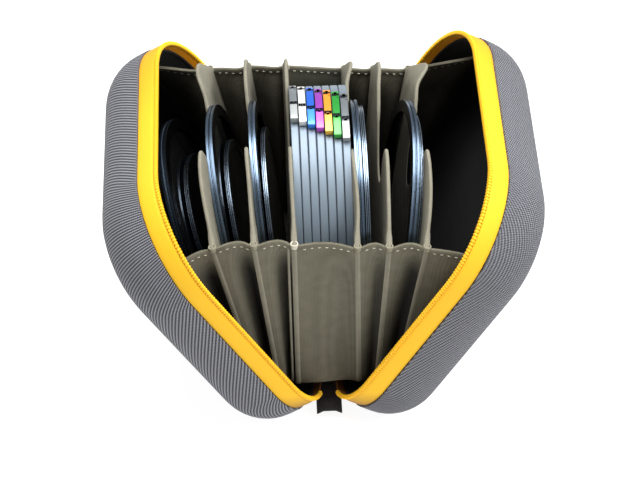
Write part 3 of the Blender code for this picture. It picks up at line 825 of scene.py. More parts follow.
def leaf_bottom(leaf, a):
    """Height of a leaf's lower edge, with its round corners."""
    into = abs(a) - (LEAF_HALF_LENGTH - LEAF_CORNER_R)
    low = leaf_floor(leaf)
    if into <= 0:
        return low
    return low + LEAF_CORNER_R - math.sqrt(max(LEAF_CORNER_R ** 2 - into ** 2, 0.0))


def leaf_point(leaf, a, v):
    """A leaf's middle surface as (a, v, off), with the flare of its ears and a faint wave."""
    far_flare, near_flare = LEAVES[leaf][4:]
    disc_v = leaf_floor(leaf) + PACK_R
    beyond = math.hypot(a, v - disc_v) - PACK_R
    flare = (far_flare if a > 0 else near_flare) * smooth_step(beyond / LEAF_FLARE_REACH)
    flare *= smooth_step((v - seam_top(leaf)) / (EAR_RISE * EAR_FLARE_SHARE))
    along, up = LEAF_WAVES_PER_METRE
    wave = noise.noise(Vector((a * along, v * up, leaf * 7.0))) * SEAM_GAP
    wave *= smooth_step(beyond / LEAF_FLARE_REACH)
    wave *= smooth_step((LEAF_HALF_LENGTH - abs(a)) / LEAF_FLARE_REACH)
    return Vector((a, v, leaf_offset(leaf) + flare + wave))


def leaf_thickness(leaf, a, v):
    """Thin beside the discs, thick at the sewn edges, with rounded borders."""
    up = v - leaf_floor(leaf)
    beyond = math.hypot(a, up - min(max(up, PACK_R), PACK_R + DISC_RISE)) - PACK_R
    if LEAVES[leaf][0] > 0:
        lift = up - min(max(up, ROUND_R), ROUND_R + DISC_RISE)
        beyond = min(beyond, math.hypot(a - PAIR_5_SHIFT, lift) - ROUND_R)
    full = LEAF_THIN + (LEAF_THICK - LEAF_THIN) * smooth_step(beyond / (LEAF_EDGE_ROUND * 3))
    raised = smooth_step((v - seam_top(leaf)) / (EAR_RISE * EAR_THIN_SHARE))
    raised *= smooth_step((PACK_R + LEAF_EDGE_ROUND * 3 - abs(a)) / LEAF_EDGE_ROUND)
    full += (LEAF_EAR - full) * raised
    border = min(LEAF_HALF_LENGTH - abs(a), leaf_top(leaf, a) - v, v - leaf_bottom(leaf, a))
    near = min(max(border, 0.0) / LEAF_EDGE_ROUND, 1.0)
    return full * (LEAF_BORDER_SHARE + (1 - LEAF_BORDER_SHARE) * math.sqrt(1 - (1 - near) ** 2))


def edge_spaced(count, low, high, border):
    """Values from low to high, with two more close to each end."""
    middle = [low + (high - low) * step / count for step in range(1, count)]
    return [low, low + border / 3, low + border] + [
        value for value in middle if low + border < value < high - border] + [
        high - border, high - border / 3, high]


def welt(leaf, sign, thick=WELT_R, off=0.0):
    """The rolled edge of a leaf, from its seam's top down and round the corner."""
    edge = LEAF_HALF_LENGTH - WELT_R
    radius = LEAF_CORNER_R - WELT_R
    low, top = leaf_floor(leaf) + WELT_R, seam_top(leaf)
    off += leaf_offset(leaf)
    line = []
    for step in range(WELT_STEPS + 1):
        line.append(Vector((sign * edge, top + (low + radius - top) * step / WELT_STEPS, off)))
    for step in range(1, WELT_CORNER_STEPS + 1):
        turn = math.pi / 2 * step / WELT_CORNER_STEPS
        line.append(Vector((sign * (edge - radius + radius * math.cos(turn)),
                            low + radius - radius * math.sin(turn), off)))
    return tube("welt", line, thick, 10)


def add_leaf(leaf, stitch):
    """A padded cloth leaf with two ears, and a row of stitches along the ears."""
    side, angle = LEAVES[leaf][:2]
    grid = []
    for a in edge_spaced(LEAF_COLUMNS, -LEAF_HALF_LENGTH, LEAF_HALF_LENGTH, LEAF_EDGE_ROUND):
        heights = edge_spaced(LEAF_ROWS, leaf_bottom(leaf, a), leaf_top(leaf, a), LEAF_EDGE_ROUND)
        grid.append([leaf_point(leaf, a, v) for v in heights])
    piece = sheet_solid(f"leaf_{leaf + 1}_cloth", grid,
                        lambda r, c: leaf_thickness(leaf, grid[r][c].x, grid[r][c].y))
    edges = [welt(leaf, sign) for sign in (-1, 1)]
    if leaf == 2:
        edges.append(welt(leaf, -1, SECOND_RIDGE_R, SECOND_RIDGE_OFF))
    piece = join([piece] + edges)
    through = Matrix.Diagonal((1, 1, LEAF_EAR * EAR_STITCH_SHARE / (HEM_CLOTH / 2 + STITCH_PROUD), 1))
    marks = []
    for first, last in EAR_STITCH_SHARES:
        line = []
        for step in range(EAR_STITCH_STEPS + 1):
            a = (first + (last - first) * step / EAR_STITCH_STEPS) * LEAF_HALF_LENGTH
            line.append(leaf_point(leaf, a, leaf_top(leaf, a) - STITCH_LENGTH))
        for point, direction in resample(line, STITCH_PITCH):
            marks.append(axes_matrix(point, direction, Vector((0, 0, 1))) @ through)
    threads = stamp(f"leaf_{leaf + 1}_stitches", stitch, marks)
    for made in (piece, threads):
        place(made, leaf_matrix(side, angle))
    return piece, threads


def pleat_stations():
    """Stations round a pleat: (kind, share) from the near hem to the far one."""
    near = [("side", share) for share in PLEAT_SIDE_SHARES]
    near += [("corner", step / PLEAT_CORNER_STEPS) for step in range(1, PLEAT_CORNER_STEPS + 1)]
    near += [("floor", step / PLEAT_FLOOR_STEPS) for step in range(1, PLEAT_FLOOR_STEPS + 1)]
    return [(-1, *one) for one in near] + [(1, *one) for one in near[-2::-1]]


def leaf_seam(leaf, face):
    """World points of the line where a pleat is sewn to one face of a leaf."""
    side, angle = LEAVES[leaf][:2]
    matrix = leaf_matrix(side, angle)
    half, radius = LEAF_HALF_LENGTH - SEAM_INSET, LEAF_CORNER_R - SEAM_INSET
    low, top = leaf_floor(leaf) + SEAM_INSET, seam_top(leaf)
    off = leaf_offset(leaf) + face * LEAF_THICK * SEAM_OFF_SHARE
    points = []
    for sign, kind, share in pleat_stations():
        if kind == "side":
            a, v = half, top + (low + radius - top) * share
        elif kind == "corner":
            turn = math.pi / 2 * share
            a, v = half - radius + radius * math.cos(turn), low + radius - radius * math.sin(turn)
        else:
            a, v = (half - radius) * (1 - share), low
        points.append(matrix @ Vector((sign * a, v, off)))
    return points


def lining_seam(side):
    """World points of the line where an outer pleat is sewn to the lining."""
    matrix = half_matrix(side)
    low, top = HINGE_CORNER_R, TOP_CORNER_R
    points = []
    for sign, kind, share in pleat_stations():
        travel = {"side": share / 2, "corner": 0.5 + 0.375 * share, "floor": 0.875 + 0.125 * share}[kind]
        c = SEAM_TOP_DEPTH + (SEAM_FLOOR_DEPTH - SEAM_TOP_DEPTH) * math.sin(travel * math.pi / 2)
        inset = wall_inset(c, INNER_WALL) + SEAM_GAP + CLOTH / 2
        highest = SEAM_NEAR_TOP_B if sign < 0 else SEAM_FAR_TOP_B
        if kind == "side":
            b = highest + (low - highest) * share
            a = HALF_LENGTH - inset
            rise = b - (CASE_HEIGHT - top)
            if rise > 0:
                a = HALF_LENGTH - top + math.sqrt((top - inset) ** 2 - rise ** 2)
        elif kind == "corner":
            turn = math.pi / 2 * share
            a = HALF_LENGTH - low + (low - inset) * math.cos(turn)
            b = low - (low - inset) * math.sin(turn)
        else:
            a, b = (HALF_LENGTH - low) * (1 - share), inset
        points.append(matrix @ Vector((sign * a, b, c)))
    return points


def across(point, side, angle):
    """How far a world point lies out from the plane through the hinge at an angle."""
    turn = math.radians(angle)
    return side * point.x * math.cos(turn) - (point.z - HINGE_Z) * math.sin(turn)


def add_pleat(number, first, second, bow, stitch):
    """A strip between two seams, bowed into the pocket and most on its right, with a stitched
    hem that arches up at both ends. Also gives its flat width, length and area."""
    grid, shade = [], []
    skew = math.log(0.5) / math.log(PLEAT_VALLEY)
    side_shade, foot_shade = PLEAT_SHADES[number - 1]
    for index, (sign, kind, share) in enumerate(pleat_stations()):
        turn = {"side": 0.0, "corner": math.pi / 2 * share, "floor": math.pi / 2}[kind]
        inward = Vector((0.0, -sign * math.cos(turn), math.sin(turn)))
        depth = bow * (PLEAT_FLOOR_SHARE + (1 - PLEAT_FLOOR_SHARE) * math.cos(turn) ** 2)
        arch, fall = 0.0, 1.0
        if kind == "side":
            depth *= HEM_BOW_SHARE + (1 - HEM_BOW_SHARE) * smooth_step(share / HEM_BOW_END)
            fall = share
            if sign < 0:
                arch = HEM_ARCH * (1 - smooth_step(share / HEM_ARCH_END))
        row, dark = [], []
        for column in range(PLEAT_COLUMNS + 1):
            width_share = column / PLEAT_COLUMNS
            point = first[index].lerp(second[index], width_share)
            to_right = width_share if second[index].x > first[index].x else 1 - width_share
            sag = math.sin(math.pi * to_right ** skew)
            rise = arch * math.sin(math.pi * width_share)
            ripple = noise.noise(point * 45 + Vector((number * 5.0, 0, 0))) * SEAM_GAP * sag
            row.append(point + inward * (depth * sag + ripple) + Vector((0.0, 0.0, rise)))
            # Painted shade: how dark the fold is painted at this point
            fold = FAR_SHADE
            if sign < 0:
                fold = side_shade * smooth_step((to_right - SHADE_START_SHARE) / SHADE_WIDTH_SHARE)
            below_hem = smooth_step((fall - HEM_LIT_SHARE) / HEM_FADE_SHARE)
            dark.append(min((fold + foot_shade * fall) * below_hem, 1.0))
        grid.append(row)
        shade.append(dark)
    thick = [CLOTH] * len(grid)
    for row, share in enumerate(HEM_THICKNESS_SHARES):
        thick[row] = thick[-1 - row] = HEM_CLOTH * share
    # The u of the cloth map carries the painted shade, the v runs down the strip
    piece = sheet_solid(f"pleat_{number}_cloth", grid, lambda r, c: thick[r],
                        lambda r, c: (shade[r][c], r / len(grid)))
    marks = []
    for row in (HEM_STITCH_ROW, len(grid) - 1 - HEM_STITCH_ROW):
        down = grid[row + 1][PLEAT_COLUMNS // 2] - grid[row - 1][PLEAT_COLUMNS // 2]
        for point, direction in resample(grid[row], STITCH_PITCH, HEM_STITCH_MARGIN):
            marks.append(axes_matrix(point, direction, down.cross(direction)))
    threads = stamp(f"pleat_{number}_stitches", stitch, marks)
    return piece, threads, flat_size(grid)


def flat_size(grid):
    """Width, length and area of a sheet laid flat, from its rows and columns of points."""
    columns = list(zip(*grid))
    width, length = (max(sum((after - before).length for before, after in zip(line, line[1:]))
                         for line in lines) for lines in (grid, columns))
    area = 0.0
    for row, after in zip(grid, grid[1:]):
        for c in range(len(row) - 1):
            area += (after[c + 1] - row[c]).cross(after[c] - row[c + 1]).length / 2
    return width, length, area


def bend_pleat(piece):
    """Bakes the pleat's place into its mesh."""
    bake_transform(piece)


def bartack(name):
    """A few turns of thread pulled tight over a seam's end."""
    turns = []
    for number in range(TACK_TURNS):
        turn = start_piece(name, bpy.ops.mesh.primitive_torus_add, minor_radius=STITCH_R,
                           major_radius=LEAF_THICK * TACK_SHARE, major_segments=16, minor_segments=6)
        step = number - (TACK_TURNS - 1) / 2
        turn.location = (0.0, step * STITCH_R * 1.9, 0.0)
        turn.rotation_euler = (math.pi / 2, 0.22 * step, 0.0)
        bpy.ops.object.transform_apply()
        turns.append(turn)
    return join(turns)


# Filters


def turned_ring(name, profile, steps):
    """A closed ring turned round Z: the loop is drawn out along the profile (radius, off)."""
    radius, off = profile[0]
    made = start_piece(name, bpy.ops.mesh.primitive_circle_add, vertices=steps, radius=radius,
                       location=(0, 0, off))
    bpy.ops.object.transform_apply()
    in_edit(made, "EDGE")
    bpy.ops.mesh.select_all(action="SELECT")
    for after_radius, after_off in profile[1:] + profile[:1]:
        bpy.ops.mesh.extrude_edges_move(TRANSFORM_OT_translate={"value": (0, 0, after_off - off)})
        bpy.ops.transform.resize(value=(after_radius / radius, after_radius / radius, 1.0),
                                 center_override=(0, 0, after_off))
        radius, off = after_radius, after_off
    bpy.ops.mesh.select_all(action="SELECT")
    bpy.ops.mesh.remove_doubles(threshold=STITCH_R / 100)
    bpy.ops.mesh.normals_make_consistent(inside=False)
    finish_edit()
    return made


def disc(name, radius, thickness, bevel):
    """A flat disc with a bevelled rim."""
    made = start_piece(name, bpy.ops.mesh.primitive_cylinder_add, vertices=96, radius=radius,
                       depth=thickness)
    bevel_where(made, lambda rise: rise < bevel / 10, bevel, 2)
    return made


def pack_frame(name):
    """A thin frame with a stepped seat inside."""
    half, edge = DISC_THICKNESS / 2, PACK_EDGE
    inner = PACK_R - PACK_RIM
    step = PACK_RIM / 3
    return turned_ring(name, [
        (PACK_R - edge, -half), (PACK_R, -half + edge), (PACK_R, half - edge), (PACK_R - edge, half),
        (inner + step, half), (inner + step, half - edge), (inner, half - 2 * edge),
        (inner, -half + 2 * edge), (inner + step, -half + edge), (inner + step, -half)], PACK_STEPS)


def round_frame(name):
    """Two rings: a smooth front one and a knurled one behind, with a groove between them."""
    half, edge = DISC_THICKNESS / 2, ROUND_EDGE
    groove, inner = ROUND_GROOVE_HALF, ROUND_R - ROUND_RIM
    valley = ROUND_R - ROUND_GROOVE_DEPTH
    smooth = turned_ring(name, [
        (ROUND_R - edge, -half), (ROUND_R, -half + edge), (ROUND_R, -groove - edge),
        (ROUND_R - edge, -groove), (inner, -groove), (inner, -half)], ROUND_STEPS)
    knurled = turned_ring(name + "_knurl", [
        (ROUND_R - edge, groove), (ROUND_R, groove + edge), (ROUND_R, half - edge),
        (ROUND_R - edge, half), (inner, half), (inner, groove)], 2 * KNURL_COUNT)
    for vertex in knurled.data.vertices:
        spoke = round(math.atan2(vertex.co.y, vertex.co.x) / math.pi * KNURL_COUNT)
        reach = math.hypot(vertex.co.x, vertex.co.y)
        if spoke % 2 and reach > valley:
            vertex.co.x *= (reach - KNURL_DEPTH) / reach
            vertex.co.y *= (reach - KNURL_DEPTH) / reach
    web = turned_ring(name + "_web", [
        (valley, -groove * 1.5), (valley, groove * 1.5), (inner + edge, groove * 1.5),
        (inner + edge, -groove * 1.5)], ROUND_STEPS)
    return join([smooth, knurled, web])


def thin_cap(name, radius):
    """A slim cap: three ridges round its rim, a shallow dish on both faces. Also says which
    faces are the bright ridges."""
    half = CAP_THICKNESS / 2
    ridge = CAP_THICKNESS / 6
    dip = radius - CAP_GROOVE_DEPTH
    lip = radius - CAP_LIP
    rim = [(lip, -half), (radius - ridge, -half)]
    for number in range(3):
        middle = (number - 1) * 2 * ridge
        rim += [(radius, middle - ridge * 0.55), (radius, middle + ridge * 0.55)]
        if number < 2:
            rim.append((dip, middle + ridge))
    rim += [(radius - ridge, half), (lip, half)]
    ring = turned_ring(name, rim, CAP_STEPS)
    plate = disc(name + "_plate", lip + ridge, CAP_THICKNESS - 2 * ridge, ridge / 3)
    made = join([ring, plate])
    return made, [int(face.center.xy.length > (radius + dip) / 2) for face in made.data.polygons]


def tab(name):
    """A curved tab: an end block, a thinner plate with a hole at each end, and two notches.
    Also says for each face whether it is plate, block or the inside of a hole."""
    length = math.radians(TAB_ARC) * PACK_R
    block = math.radians(TAB_BLOCK_ARC) * PACK_R
    made = start_piece(name, bpy.ops.mesh.primitive_cube_add, size=1.0)
    made.scale = (length, TAB_WIDTH, TAB_BLOCK)
    made.location = (length / 2, 0.0, TAB_BLOCK / 2)
    bpy.ops.object.transform_apply()
    cutters = [box((block, -TAB_WIDTH, TAB_PLATE), (length * 2, TAB_WIDTH, TAB_BLOCK * 2))]
    hole_r = TAB_WIDTH * TAB_HOLE_SHARE
    holes = (block + hole_r * 1.8, length - hole_r * 2.6)
    for along in holes:
        cutters.append(hole_cutter(hole_r, (along, 0.0, TAB_PLATE)))
    for along in (length - hole_r * 5.6, length - hole_r * 7.6):
        low = (along, TAB_WIDTH * 0.18, TAB_PLATE * 0.35)
        cutters.append(box(low, (along + hole_r, TAB_WIDTH, TAB_BLOCK)))
    cut(made, *cutters)
    for step in range(1, TAB_STEPS):
        in_edit(made, "FACE")
        bpy.ops.mesh.select_all(action="SELECT")
        bpy.ops.mesh.bisect(plane_co=(length * step / TAB_STEPS, 0, 0), plane_no=(1, 0, 0))
        finish_edit()
    soften(made, TAB_WIDTH * 0.05)
    parts = []
    for face in made.data.polygons:
        x, y, z = face.center
        # Painted shade on the walls of the holes, and painted light on the block
        hollow = z > TAB_PLATE * 0.2 and any(
            math.hypot((x - along) / TAB_HOLE_STRETCH, y) < hole_r * 1.02 for along in holes)
        parts.append(2 if hollow else int(x < block + STITCH_R))
    for vertex in made.data.vertices:
        turn = vertex.co.x / PACK_R
        reach = PACK_R + SEAM_GAP + vertex.co.z
        vertex.co = Vector((reach * math.sin(turn), reach * math.cos(turn), vertex.co.y))
    made.data.flip_normals()
    return made, parts


def box(low, high):
    """A block between two corners, to cut with or to build from."""
    low, high = Vector(low), Vector(high)
    made = start_piece("cutter", bpy.ops.mesh.primitive_cube_add, size=1.0)
    made.scale = high - low
    made.location = (low + high) / 2
    bpy.ops.object.transform_apply()
    return made


def hole_cutter(radius, at):
    """A round bar for a tab's long hole."""
    made = start_piece("cutter", bpy.ops.mesh.primitive_cylinder_add, vertices=20, radius=radius,
                       depth=TAB_PLATE * 1.4, location=at)
    made.scale = (TAB_HOLE_STRETCH, 1.0, 1.0)
    bpy.ops.object.transform_apply()
    return made


def disc_matrix(side, angle, centre, off, shift=0.0):
    """Puts a disc that is modelled round its own centre in a pocket."""
    return leaf_matrix(side, angle) @ Matrix.Translation((shift, centre, off))


# Hinge, slider and pull
WEBBING_WIDTH = 0.0094
WEBBING_THICKNESS = 0.0012
WEBBING_NEAR_TAIL = 0.0110
WEBBING_TAIL_DROP = 0.0034
WEBBING_RIB = 0.0016
WEBBING_THREAD = 0.00085
WEBBING_RELIEF = 0.00025
SLIDER_LENGTH = 0.0070
SLIDER_WIDTH = 0.0066
SLIDER_PLATE = 0.0012
SLIDER_POST_WIDTH = 0.0026
SLIDER_POST_RISE = 0.0026
SLIDER_BELOW_AXIS = 0.0002
BRIDGE_WIDTH = 0.0018
BRIDGE_BAR = 0.0008
BRIDGE_DROP = 0.0034
BRIDGE_EYE = 0.0016
PULL_LENGTH = 0.0125
PULL_WIDTH = 0.0042
PULL_THICKNESS = 0.0010
PULL_WINDOW_WIDTH = 0.0026
PULL_WINDOW_LENGTH = 0.0040


def hinge_webbing(name):
    """Webbing folded like a roof under the hinge, with its near end hanging out."""
    slope = math.tan(OPEN)
    half, gap = WEBBING_WIDTH / 2, HINGE_HALF_GAP
    straight = HALF_LENGTH - HINGE_CORNER_R
    ridge = -SEAM_GAP / math.cos(OPEN)
    rows = []
    stations = [(-straight - WEBBING_NEAR_TAIL * share, WEBBING_TAIL_DROP * share ** 1.6)
                for share in (1.0, 0.97, 0.8, 0.6, 0.4, 0.2, 0.08)]
    stations += [(-straight + 2 * straight * step / 12, 0.0) for step in range(13)]
    for index, (y, fall) in enumerate(stations):
        thin = 0.5 if index in (0, len(stations) - 1) else 1.0
        upper, lower = [], []
        for column in range(17):
            x = half * (column / 8 - 1)
            z = ridge - max(abs(x) - gap, 0.0) * slope
            middle = z - WEBBING_THICKNESS / 2
            spread = WEBBING_THICKNESS / 2 * thin * (0.45 if column in (0, 16) else 1.0)
            upper.append(Vector((x, y, HINGE_Z + middle + spread - fall)))
            lower.append(Vector((x, y, HINGE_Z + middle - spread - fall)))
        rows.append(upper + lower[::-1])
    strip = skin(name, rows)
    rib_top = leaf_floor(2) - SEAM_GAP
    rib = box((-WEBBING_RIB / 2, -straight, ridge - WEBBING_THICKNESS / 2 + HINGE_Z),
              (WEBBING_RIB / 2, straight, rib_top + HINGE_Z))
    return join([strip, rib])


def slider(name):
    """A cast slider: a plate with round corners, the wedge post and the bridge. Also gives
    the middle of the bridge's eye."""
    start = HALF_LENGTH - HINGE_CORNER_R + SEAM_GAP
    end = start + SLIDER_LENGTH
    top = HINGE_Z - SLIDER_BELOW_AXIS
    low = top - SLIDER_PLATE
    half = SLIDER_WIDTH / 2
    plate = box((-half, start, low), (half, end, top))
    bevel_where(plate, lambda rise: rise > SLIDER_PLATE / 2, SLIDER_WIDTH * 0.24, 6)
    post = box((-SLIDER_POST_WIDTH / 2, start + SLIDER_PLATE / 2, low + SLIDER_PLATE / 2),
               (SLIDER_POST_WIDTH / 2, end - SLIDER_PLATE / 2, top + SLIDER_POST_RISE))
    bevel_where(post, lambda rise: rise > SLIDER_PLATE, SLIDER_POST_WIDTH * 0.42, 5)
    eye = BRIDGE_EYE / 2
    pivot_y = end - BRIDGE_BAR - eye
    bottom = low - BRIDGE_DROP
    reach = eye + BRIDGE_BAR / 2
    path = [Vector((0, pivot_y - reach, low + SLIDER_PLATE / 2))]
    for step in range(9):
        turn = math.pi * step / 8
        path.append(Vector((0, pivot_y - reach * math.cos(turn),
                            bottom + BRIDGE_BAR / 2 + reach - reach * math.sin(turn))))
    path.append(Vector((0, pivot_y + reach, low + SLIDER_PLATE / 2)))
    rows = []
    for index, point in enumerate(path):
        out = Vector((1, 0, 0)).cross(direction_at(path, index)) * BRIDGE_BAR / 2
        wide = Vector((BRIDGE_WIDTH / 2, 0, 0))
        rows.append([point + out + wide, point + out - wide, point - out - wide, point - out + wide])
    made = join([plate, post, skin("bridge", rows)])
    made.name = name
    soften(made, BRIDGE_BAR * 0.16)
    pivot = Vector((0.0, pivot_y, bottom + BRIDGE_BAR + eye))
    return made, pivot


def zip_pull(name, pivot):
    """A stamped pull that hangs in the bridge and slopes down to the floor."""
    made = start_piece(name, bpy.ops.mesh.primitive_cube_add, size=1.0)
    bar = PULL_THICKNESS / 2
    made.scale = (PULL_WIDTH, PULL_LENGTH + bar, PULL_THICKNESS)
    made.location = (0.0, (PULL_LENGTH - bar) / 2, 0.0)
    bpy.ops.object.transform_apply()
    bevel_where(made, lambda rise: rise > bar, PULL_WIDTH * 0.16, 4)
    window = box((-PULL_WINDOW_WIDTH / 2, bar, -PULL_THICKNESS),
                 (PULL_WINDOW_WIDTH / 2, PULL_WINDOW_LENGTH, PULL_THICKNESS))
    grip = box((-PULL_WINDOW_WIDTH / 3, PULL_LENGTH * 0.48, bar * 0.55),
               (PULL_WINDOW_WIDTH / 3, PULL_LENGTH * 0.86, PULL_THICKNESS))
    cut(made, window, grip)
    soften(made, PULL_THICKNESS * 0.14)
    slope = math.asin((pivot.z - bar - SEAM_GAP) / PULL_LENGTH)
    place(made, Matrix.Translation(pivot) @ Matrix.Rotation(-slope, 4, "X"))
    return made


# The object

nylon = {-1: ribbed_nylon("ribbed_nylon_left", -math.atan(RIB_SLOPE_LEFT), 0.3),
         1: ribbed_nylon("ribbed_nylon_right", -math.atan(RIB_SLOPE_RIGHT), 0.8)}
# A black knit so dark that the hollow of each half shows almost no form
lining_cloth = woven("black_knit_lining", "060607", "111113", LINING_THREAD, 0.95, LINING_RELIEF)
# Yellow twill tape, with brown painted shade at the hinge and deeper orange painted shade at the far end
tape_cloth = twill_tape("yellow_twill_tape", "F3B209", "FFCE22", "6E3A08", "F29C06")
# The coil's turns: the tape's yellow in plain plastic, a little smoother
coil_plastic = new_material("yellow_coil_nylon", Base_Color=linear("FBC018"), Roughness=0.7)[0]
# The leaves' canvas is dusty and pale. The gussets' is the same canvas with painted shade: darker and
# browner all over, and nearly black where shade is painted into the folds
insert_cloth = woven("olive_canvas", "6C685A", "9A9685", CANVAS_THREAD, 0.92, CANVAS_RELIEF)
shaded_gusset_cloth = woven("olive_canvas_gusset", "4E4A3C", "7C7867", CANVAS_THREAD, 0.92, CANVAS_RELIEF,
                     folded="0C0B08")
# Matt thread: pale dashes along the hems, and olive ones on the ears that barely show
thread = new_material("beige_sewing_thread", Base_Color=linear("CFC9B8"), Roughness=0.7)[0]
olive_thread = new_material("olive_sewing_thread", Base_Color=linear("8F8A76"), Roughness=0.8)[0]
# Coarse black webbing with a faint sheen
webbing_cloth = woven("black_ribbed_webbing", "0C0C0D", "242427", WEBBING_THREAD, 0.8,
                      WEBBING_RELIEF, sheen=0.1)
# Rims: soft steel blue on the pack, glossier blue grey on the thick filters, and bright ridges on the
# charcoal caps. Charcoal is also inside the thick rims, and it is painted shade in the tabs' holes.
# The slider and its pull are gunmetal.
frame_metal = anodised("steel_blue_anodised", "7E8B97", 0.50, 0.5)
round_metal = anodised("blue_grey_anodised", "6E8094", 0.28)
cap_metal = anodised("charcoal_anodised", "16181C", 0.40)
ridge_metal = anodised("polished_ridge", "8796A6", 0.26)
zip_metal = anodised("gunmetal_zip", "3C3C40", 0.30)
glass = coated_glass("dark_coated_glass")
tab_paints = [[lacquer(f"tab_plate_{number}", plate), lacquer(f"tab_block_painted_light_{number}", block)]
              for number, (plate, block) in enumerate(zip(PLATE_COLOURS, LIT_BLOCK_COLOURS), 1)]

tooth = start_piece("tooth", bpy.ops.mesh.primitive_cube_add, size=1.0)
tooth.scale = (TOOTH_LENGTH, TOOTH_WIDTH, TOOTH_RISE)
bpy.ops.object.transform_apply()
apply_modifier(tooth, "BEVEL", width=TOOTH_WIDTH * 0.36, segments=2)
stitch = start_piece("stitch", bpy.ops.mesh.primitive_uv_sphere_add, segments=8, ring_count=6, radius=1.0)
stitch.scale = (STITCH_LENGTH / 2, STITCH_R, HEM_CLOTH / 2 + STITCH_PROUD)
bpy.ops.object.transform_apply()
tack = bartack("tack")

for side, prefix in ((-1, "left"), (1, "right")):
    shell = moulded_tub(prefix + "_shell_cloth", TAPE_VISIBLE, 0.0, SHELL_WALL)
    lining = moulded_tub(prefix + "_lining_cloth", LINING_LIP_DEPTH, SHELL_WALL + SEAM_GAP, LINING_WALL)
    ring = [Vector((a, b, LINING_LIP_DEPTH)) for a, b in outline(SHELL_WALL + SEAM_GAP + LINING_PIPING_R)]
    join([lining, tube("piping", ring + ring[:2], LINING_PIPING_R, 8)])
    tape = zip_tape(prefix + "_tape_cloth")
    teeth = zip_teeth(prefix + "_coil", tooth)
    for piece, material, node, slot in (
            (shell, nylon[side], "_shell", "shell_cloth"),
            (lining, lining_cloth, "_lining", "lining_cloth"),
            (tape, tape_cloth, "_zip_tape", "zip_tape"),
            (teeth, coil_plastic, "_zip_teeth", "zip_teeth")):
        place(piece, half_matrix(side))
        dress(piece, [material], prefix + "_case", prefix + node)

for leaf, body in enumerate(LEAF_BODIES):
    piece, threads = add_leaf(leaf, stitch)
    dress(piece, [insert_cloth], body, f"divider_{leaf + 1}")
    dress(threads, [olive_thread], body, None)
    side, angle = LEAVES[leaf][:2]
    tacks = []
    for sign in (-1, 1):
        at = Vector((sign * (LEAF_HALF_LENGTH - LEAF_EDGE_ROUND), seam_top(leaf), leaf_offset(leaf)))
        tacks.append(copy_of(tack, "tack", leaf_matrix(side, angle) @ Matrix.Translation(at)))
    knots = join(tacks)
    knots.name = f"leaf_{leaf + 1}_bartacks"
    dress(knots, [thread if leaf == 2 else olive_thread], body, None)

# The seams on both sides of each pleat, how deep it bows, side and angle of its middle, and
# the bodies that its two seams follow
pleat_plan = (
    (leaf_seam(0, 1), lining_seam(-1), 0.0052, -1, 18.5, "leaf_1", "left_case"),
    (leaf_seam(1, 1), leaf_seam(0, -1), 0.0050, -1, 9.0, "leaf_2", "leaf_1"),
    (leaf_seam(2, 1), leaf_seam(1, -1), 0.0050, -1, 3.0, "spine", "leaf_2"),
    (leaf_seam(2, -1), leaf_seam(3, -1), 0.0012, 0, 0.0, "spine", None),
    (leaf_seam(3, 1), leaf_seam(4, -1), 0.0030, 1, 2.0, "spine", "leaf_5"),
    (leaf_seam(4, 1), leaf_seam(5, -1), 0.0030, 1, 6.75, "leaf_5", "leaf_6"),
    (leaf_seam(5, 1), lining_seam(1), 0.0040, 1, 18.0, "leaf_6", "right_case"),
)
for number, (first, second, bow, side, angle, inner_body, outer_body) in enumerate(pleat_plan, 1):
    piece, threads, (width, length, area) = add_pleat(number, first, second, bow, stitch)
    body = inner_body if outer_body is None else None
    dress(piece, [shaded_gusset_cloth], body, f"pleat_{number}")
    dress(threads, [thread], body, None)
    if outer_body is not None:
        for part in (piece, threads):
            bend_pleat(part)

pack_template = pack_frame("pack_template")
pack_glass_template = disc("pack_glass_template", PACK_R - PACK_RIM - GLASS_SEAT_GAP,
                           GLASS_THICKNESS, STITCH_R / 2)
tab_template, tab_parts = tab("tab_template")
floor_rise = SEAM_INSET + PLEAT_SOLID_THICKNESS + POCKET_FLOOR_CLEARANCE
for number in range(PACK_COUNT):
    off = (number - (PACK_COUNT - 1) / 2) * PACK_PITCH
    at = disc_matrix(1, 0.0, leaf_floor(2) + floor_rise + PACK_R, off)
    body = f"pack_filter_{number + 1}"
    near_end = math.radians(TAB_FIRST_END + (TAB_LAST_END - TAB_FIRST_END) * number / (PACK_COUNT - 1))
    dress(copy_of(pack_template, body + "_frame", at), [frame_metal], body,
          f"pack_frame_{number + 1}")
    dress(copy_of(pack_glass_template, body + "_glass", at), [glass], body,
          f"pack_glass_{number + 1}")
    piece = dress(copy_of(tab_template, body + "_tab", at @ Matrix.Rotation(-near_end, 4, "Z")),
                  [*tab_paints[number], cap_metal], body, f"pack_tab_{number + 1}",
                  30.0)
    piece.data.polygons.foreach_set("material_index", tab_parts)

round_template = round_frame("round_template")
dark_faces = [int(abs(face.normal.z) > 0.7 or face.center.xy.length < ROUND_R - ROUND_BRIGHT_DEPTH)
              for face in round_template.data.polygons]
round_glass_template = disc("round_glass_template", ROUND_R - ROUND_RIM - GLASS_SEAT_GAP,
                            GLASS_THICKNESS, STITCH_R / 2)
beside_leaf = LEAF_SOLID_THICKNESS / 2 + FILTER_GAP
filter_to_cap = DISC_THICKNESS / 2 + FILTER_GAP + CAP_THICKNESS / 2
# Pocket, side and angle, how far out the filter and its cap lie, the lowest point of each,
# and how far the pair sits from the pocket's middle along the case
places = [(1, -1, LEAN_ANGLE, LEANING_FILTER_OFFSET, LEANING_FILTER_OFFSET - filter_to_cap,
           LEANING_FILTER_BOTTOM, LEANING_CAP_BOTTOM, 0.0)]
